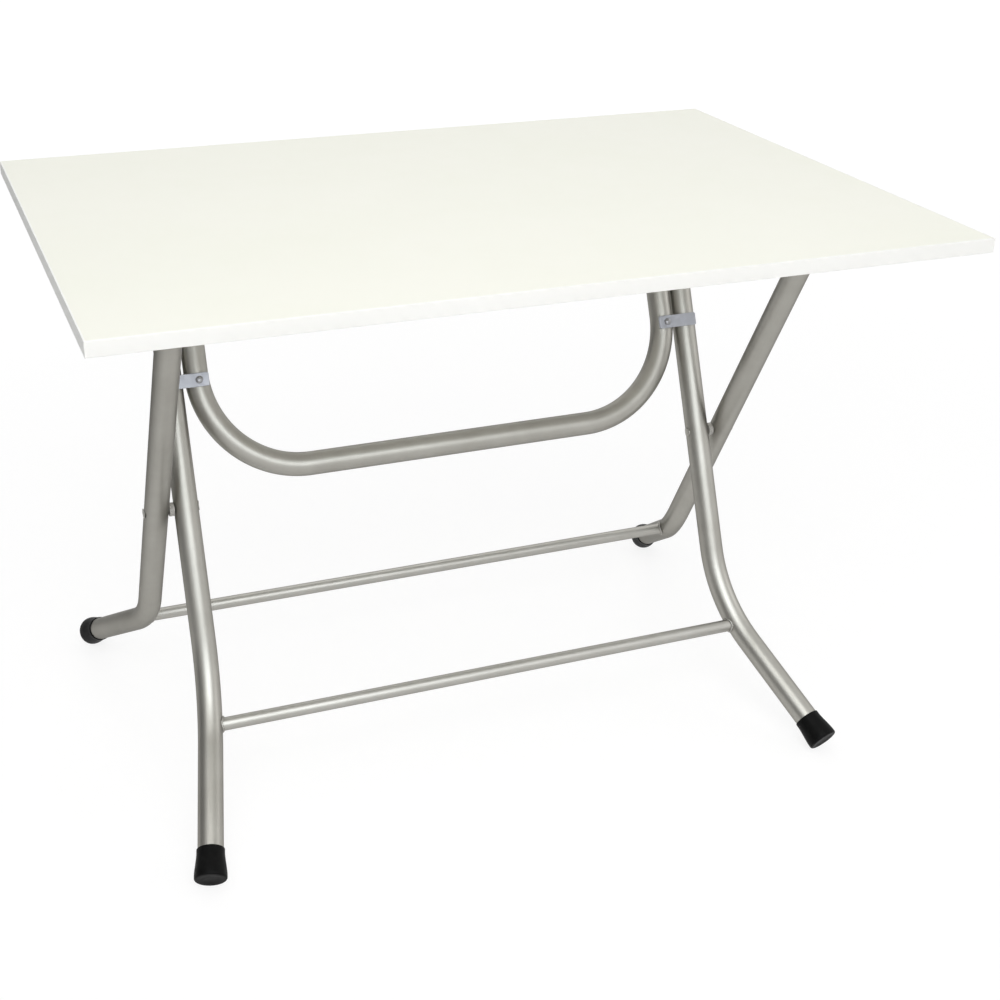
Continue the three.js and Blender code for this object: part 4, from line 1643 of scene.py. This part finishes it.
@dataclass(frozen=True)
class Hinges:
    """The hinge brackets under the board with their pins, nuts and screws."""

    sheet: float = 2.5 * MM
    play: float = 1.2 * MM
    screw_pitch: float = 48 * MM
    angle_leg: float = 30 * MM
    tail: float = 1.5 * MM

    def build(self, outer_span: float, brace_span: float) -> None:
        """Builds and dresses the hinge pieces.

        Args:
            outer_span: The distance of the outer legs from the middle.
            brace_span: The distance of the brace's arms from the middle.
        """
        inside, nut = TUBE.radius + self.play, HexNut()
        cheek = inside + self.sheet
        far_end = -cheek - CLEAR - nut.height - self.tail
        screw_z = box_of("underside_backer")[0][2] - self.sheet
        inward = -(cheek + inside + self.angle_leg) / 2
        kinds = (
            ("outer", LINKAGE.near_hinge, outer_span, Head.DOMED, cheek, 0.0),
            ("brace", LINKAGE.far_hinge, brace_span, Head.FLAT, TUBE.radius, inward),
        )
        for kind, *_ in kinds:
            Coat.PLATE.dress(*(frame["nodes"][f"{kind}_hinge_bracket_{side}"] for side in ("right", "left")))
        for kind, hinge, span, head, seat, _ in kinds:
            pin = Pin(Head.TAIL, head, far_end, seat + CLEAR).skin()
            for part, skin in (("pin", pin), ("nut", nut.skin().shifted((-cheek - CLEAR, 0.0, 0.0)))):
                Coat.FASTENER.show_pair(f"{kind}_hinge_{part}", skin.shifted(hinge + span * X), "tabletop")
        for kind, hinge, span, _, _, aside in kinds:
            places = [(span + aside, hinge[1] + end * self.screw_pitch / 2, screw_z) for end in (-1, 1)]
            screws = Skin.joined([PanScrew().skin().shifted(place) for place in places])
            Coat.FASTENER.show_pair(f"{kind}_bracket_screws", screws, "tabletop", stands_for=False)


# -------- floor, light and camera


@dataclass(frozen=True)
class Lamp:
    """A soft lamp: where it hangs and points, its size, and which surfaces gather its light."""

    name: str
    place: Triple
    aim: Triple
    size: Pair
    watts: float
    colour: Triple = WHITE
    matt: bool = True
    shiny: bool = True

    def hang(self) -> None:
        """Hangs the lamp and turns it to what it points at."""
        light = bpy.data.lights.new(self.name, "AREA")
        light.shape, light.energy, light.color = "RECTANGLE", self.watts, self.colour
        light.size, light.size_y = self.size
        lamp = bpy.data.objects.new(self.name, light)
        lamp.location = self.place
        lamp.visible_diffuse, lamp.visible_glossy = self.matt, self.shiny
        lamp.rotation_euler = (Vector(self.aim) - Vector(self.place)).to_track_quat("-Z", "Y").to_euler()
        bpy.context.scene.collection.objects.link(lamp)


@dataclass(frozen=True)
class View:
    """The camera: where it stands for a table of the height given, how it turns, and its lens."""

    table_height: float = 0.74
    place: Triple = (-0.7239, -1.7666, 1.2881)
    down: float = 23.543
    yaw: float = -19.963
    roll: float = 0.641
    lens: float = 55.63
    sensor: float = 36.0
    shift: Pair = (0.1, -0.1)

    def take(self) -> None:
        """Stands the camera in front of the table, a little to its left and above the board."""
        data = bpy.data.cameras.new("camera")
        data.sensor_width, data.lens = self.sensor, self.lens
        data.shift_x, data.shift_y = self.shift
        camera = bpy.data.objects.new("camera", data)
        camera.location = Vector(self.place) * (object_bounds()[1].z / self.table_height)
        pitch, yaw, roll = np.radians([90.0 - self.down, self.yaw, self.roll])
        angles = ((0.0, 0.0, yaw), (pitch, 0.0, 0.0), (0.0, 0.0, roll))
        turns = [Euler(angle).to_quaternion() for angle in angles]
        camera.rotation_mode = "QUATERNION"
        camera.rotation_quaternion = turns[0] @ turns[1] @ turns[2]
        bpy.context.scene.collection.objects.link(camera)
        bpy.context.scene.camera = camera
        bpy.context.scene.view_settings.view_transform = "Standard"


@dataclass(frozen=True)
class Studio:
    """A pale floor, a pale wall all round with a dimmer ceiling, soft lamps and the camera."""

    floor_half: float = 14.0
    floor_colour: Triple = (0.95, 0.95, 0.95)
    floor_roughness: float = 0.9
    floor_gloss: float = 0.1
    glow: float = 1.05
    glow_share: float = 0.8
    shadow_reach: Pair = (1.4, 3.6)
    wall_light: float = 1.0
    ceiling_light: float = 0.9
    ceiling_reach: Pair = (0.34, 0.62)
    dim_side: Triple = (-0.97, 0.25, 0.0)
    dim_light: float = 0.2
    dim_wall_reach: Pair = (0.4, 0.88)
    # In reflections the floor's glow falls to this share on the dim side: painted shade.
    dim_floor: float = 0.3
    dim_floor_reach: Pair = (0.6, 1.5)
    soft_light: float = 0.34
    lamps: tuple[Lamp, ...] = (
        Lamp("key", (-0.3, -2.95, 2.45), (0.0, 0.0, 0.5), (3.0, 2.9), 52.0),
        Lamp("shine", (-0.55, -2.8, 2.5), (0.0, 0.0, 0.5), (3.2, 2.8), 27.0, (0.66, 0.85, 1.0), matt=False),
        Lamp("high", (-0.8, -1.3, 3.3), (0.0, 0.0, 0.6), (2.8, 2.8), 36.0),
        Lamp("back", (0.9, 1.7, 3.2), (0.2, 0.3, 0.7), (2.4, 2.4), 18.0),
        Lamp("right", (3.4, -1.0, 1.9), (0.0, 0.0, 0.5), (1.8, 1.8), 12.0),
        Lamp("behind", (-0.7, 3.2, 1.3), (0.0, 0.0, 0.5), (2.2, 1.6), 14.0, shiny=False),
    )
    view: View = View()

    def build(self) -> None:
        """Builds the floor, the world, the lamps and the camera."""
        self.floor()
        self.world()
        for lamp in self.lamps:
            lamp.hang()
        self.view.take()

    def leftness(self, sketch: Sketch, place: Socket) -> Socket:
        """How far a place or a direction reaches towards the dim side."""
        made = sketch.node("VectorMath", {0: place, 1: self.dim_side}, operation="DOT_PRODUCT")
        return made.outputs["Value"]

    def floor(self) -> None:
        """Lays the floor, which keeps the table's shadow, shows pale elsewhere and has painted shade in
        reflections.
        """
        h = self.floor_half
        mesh = bpy.data.meshes.new("floor")
        mesh.from_pydata([(-h, -h, 0.0), (h, -h, 0.0), (h, h, 0.0), (-h, h, 0.0)], [], [(0, 1, 2, 3)])
        piece = bpy.data.objects.new("floor", mesh)
        bpy.context.scene.collection.objects.link(piece)
        sketch = Sketch(bpy.data.materials.new("pale_floor"))
        sketch.shade(
            Base_Color=(*self.floor_colour, 1.0),
            Roughness=self.floor_roughness,
            Specular_IOR_Level=self.floor_gloss,
        )
        rays = sketch.node("LightPath").outputs
        seen = sketch.worked_out("MAXIMUM", rays["Is Camera Ray"], rays["Is Glossy Ray"])
        seen = sketch.worked_out("MAXIMUM", seen, rays["Is Transmission Ray"])
        place = sketch.object_place()
        away = sketch.node("VectorMath", {0: place}, operation="LENGTH").outputs["Value"]
        glowing = sketch.spread(away, self.glow_share, 1.0, *self.shadow_reach)
        share = sketch.worked_out("MULTIPLY", seen, glowing)
        # Glossy rays see the glow dimmed towards the dim side: painted shade on the floor, which darkens the
        # tubes' left edges.
        dim = self.glow * self.dim_floor
        dimmed = sketch.spread(self.leftness(sketch, place), self.glow, dim, *self.dim_floor_reach)
        strength = sketch.either(rays["Is Glossy Ray"], self.glow, dimmed)
        glow = sketch.node("Emission", {"Color": (*WHITE, 1.0), "Strength": strength})
        mix = sketch.node("MixShader", {0: share, 1: sketch.shader.outputs[0], 2: glow.outputs[0]})
        sketch.links.new(mix.outputs[0], sketch.nodes["Material Output"].inputs["Surface"])
        mesh.materials.append(sketch.owner)
        piece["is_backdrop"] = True

    def world(self) -> None:
        """Lights the room: pale walls that darken to the left, under a dimmer ceiling.

        Brightness is a smooth step down with the height of the direction, times a smooth step down
        towards the dim side. Matt surfaces gather one soft level from everywhere instead, and the
        camera sees a white backdrop.
        """
        world = bpy.data.worlds.new("studio")
        bpy.context.scene.world = world
        sketch = Sketch(world)
        smooth = {"interpolation_type": "SMOOTHSTEP"}
        place = sketch.node("TexCoord").outputs["Generated"]
        up = sketch.node("SeparateXYZ", {0: place}).outputs["Z"]
        height = sketch.spread(up, self.wall_light, self.ceiling_light, *self.ceiling_reach, **smooth)
        leftness = self.leftness(sketch, place)
        side = sketch.spread(leftness, 1.0, self.dim_light, *self.dim_wall_reach, **smooth)
        rays = sketch.node("LightPath").outputs
        level = sketch.either(
            rays["Is Diffuse Ray"], sketch.worked_out("MULTIPLY", height, side), self.soft_light
        )
        strength = sketch.either(rays["Is Camera Ray"], level, self.wall_light)
        sketch.shade(Color=(*WHITE, 1.0), Strength=strength)


# -------- the whole table


def main() -> None:
    """Builds the table's sub-assemblies in order, then the studio."""
    logging.basicConfig(level=logging.INFO, format="%(name)s %(message)s")
    link = LINKAGE.inner_link
    Board().build()
    outer = Frame(
        name="outer",
        shape=LegShape(towards=1, bend_height=139 * MM, bend_radius=145 * MM, slope=32.4, splay=17.3),
        lean=LINKAGE.lean_to(LINKAGE.near_hinge),
        origin=LINKAGE.near_hinge,
        half_span=LINKAGE.outer_span,
        from_top=TUBE_TIP,
        pin_heights=(0.0, -LINKAGE.outer_reach),
    )
    outer.build()
    inner = Frame(
        name="inner",
        shape=LegShape(towards=-1, bend_height=133 * MM, bend_radius=212 * MM, slope=28.0, splay=14.4),
        lean=LINKAGE.lean_to(LINKAGE.far_hinge),
        origin=LINKAGE.crossing,
        half_span=LINKAGE.inner_span,
        from_top=link + TUBE_TIP,
        pin_heights=(link, 0.0),
    )
    inner.build()
    Crossing().build(inner, link)
    LockBrace(LINKAGE.brace_span).build(LINKAGE.inner_span)
    Hinges().build(LINKAGE.outer_span, LINKAGE.brace_span)
    Studio().build()


if __name__ == "__main__":
    main()
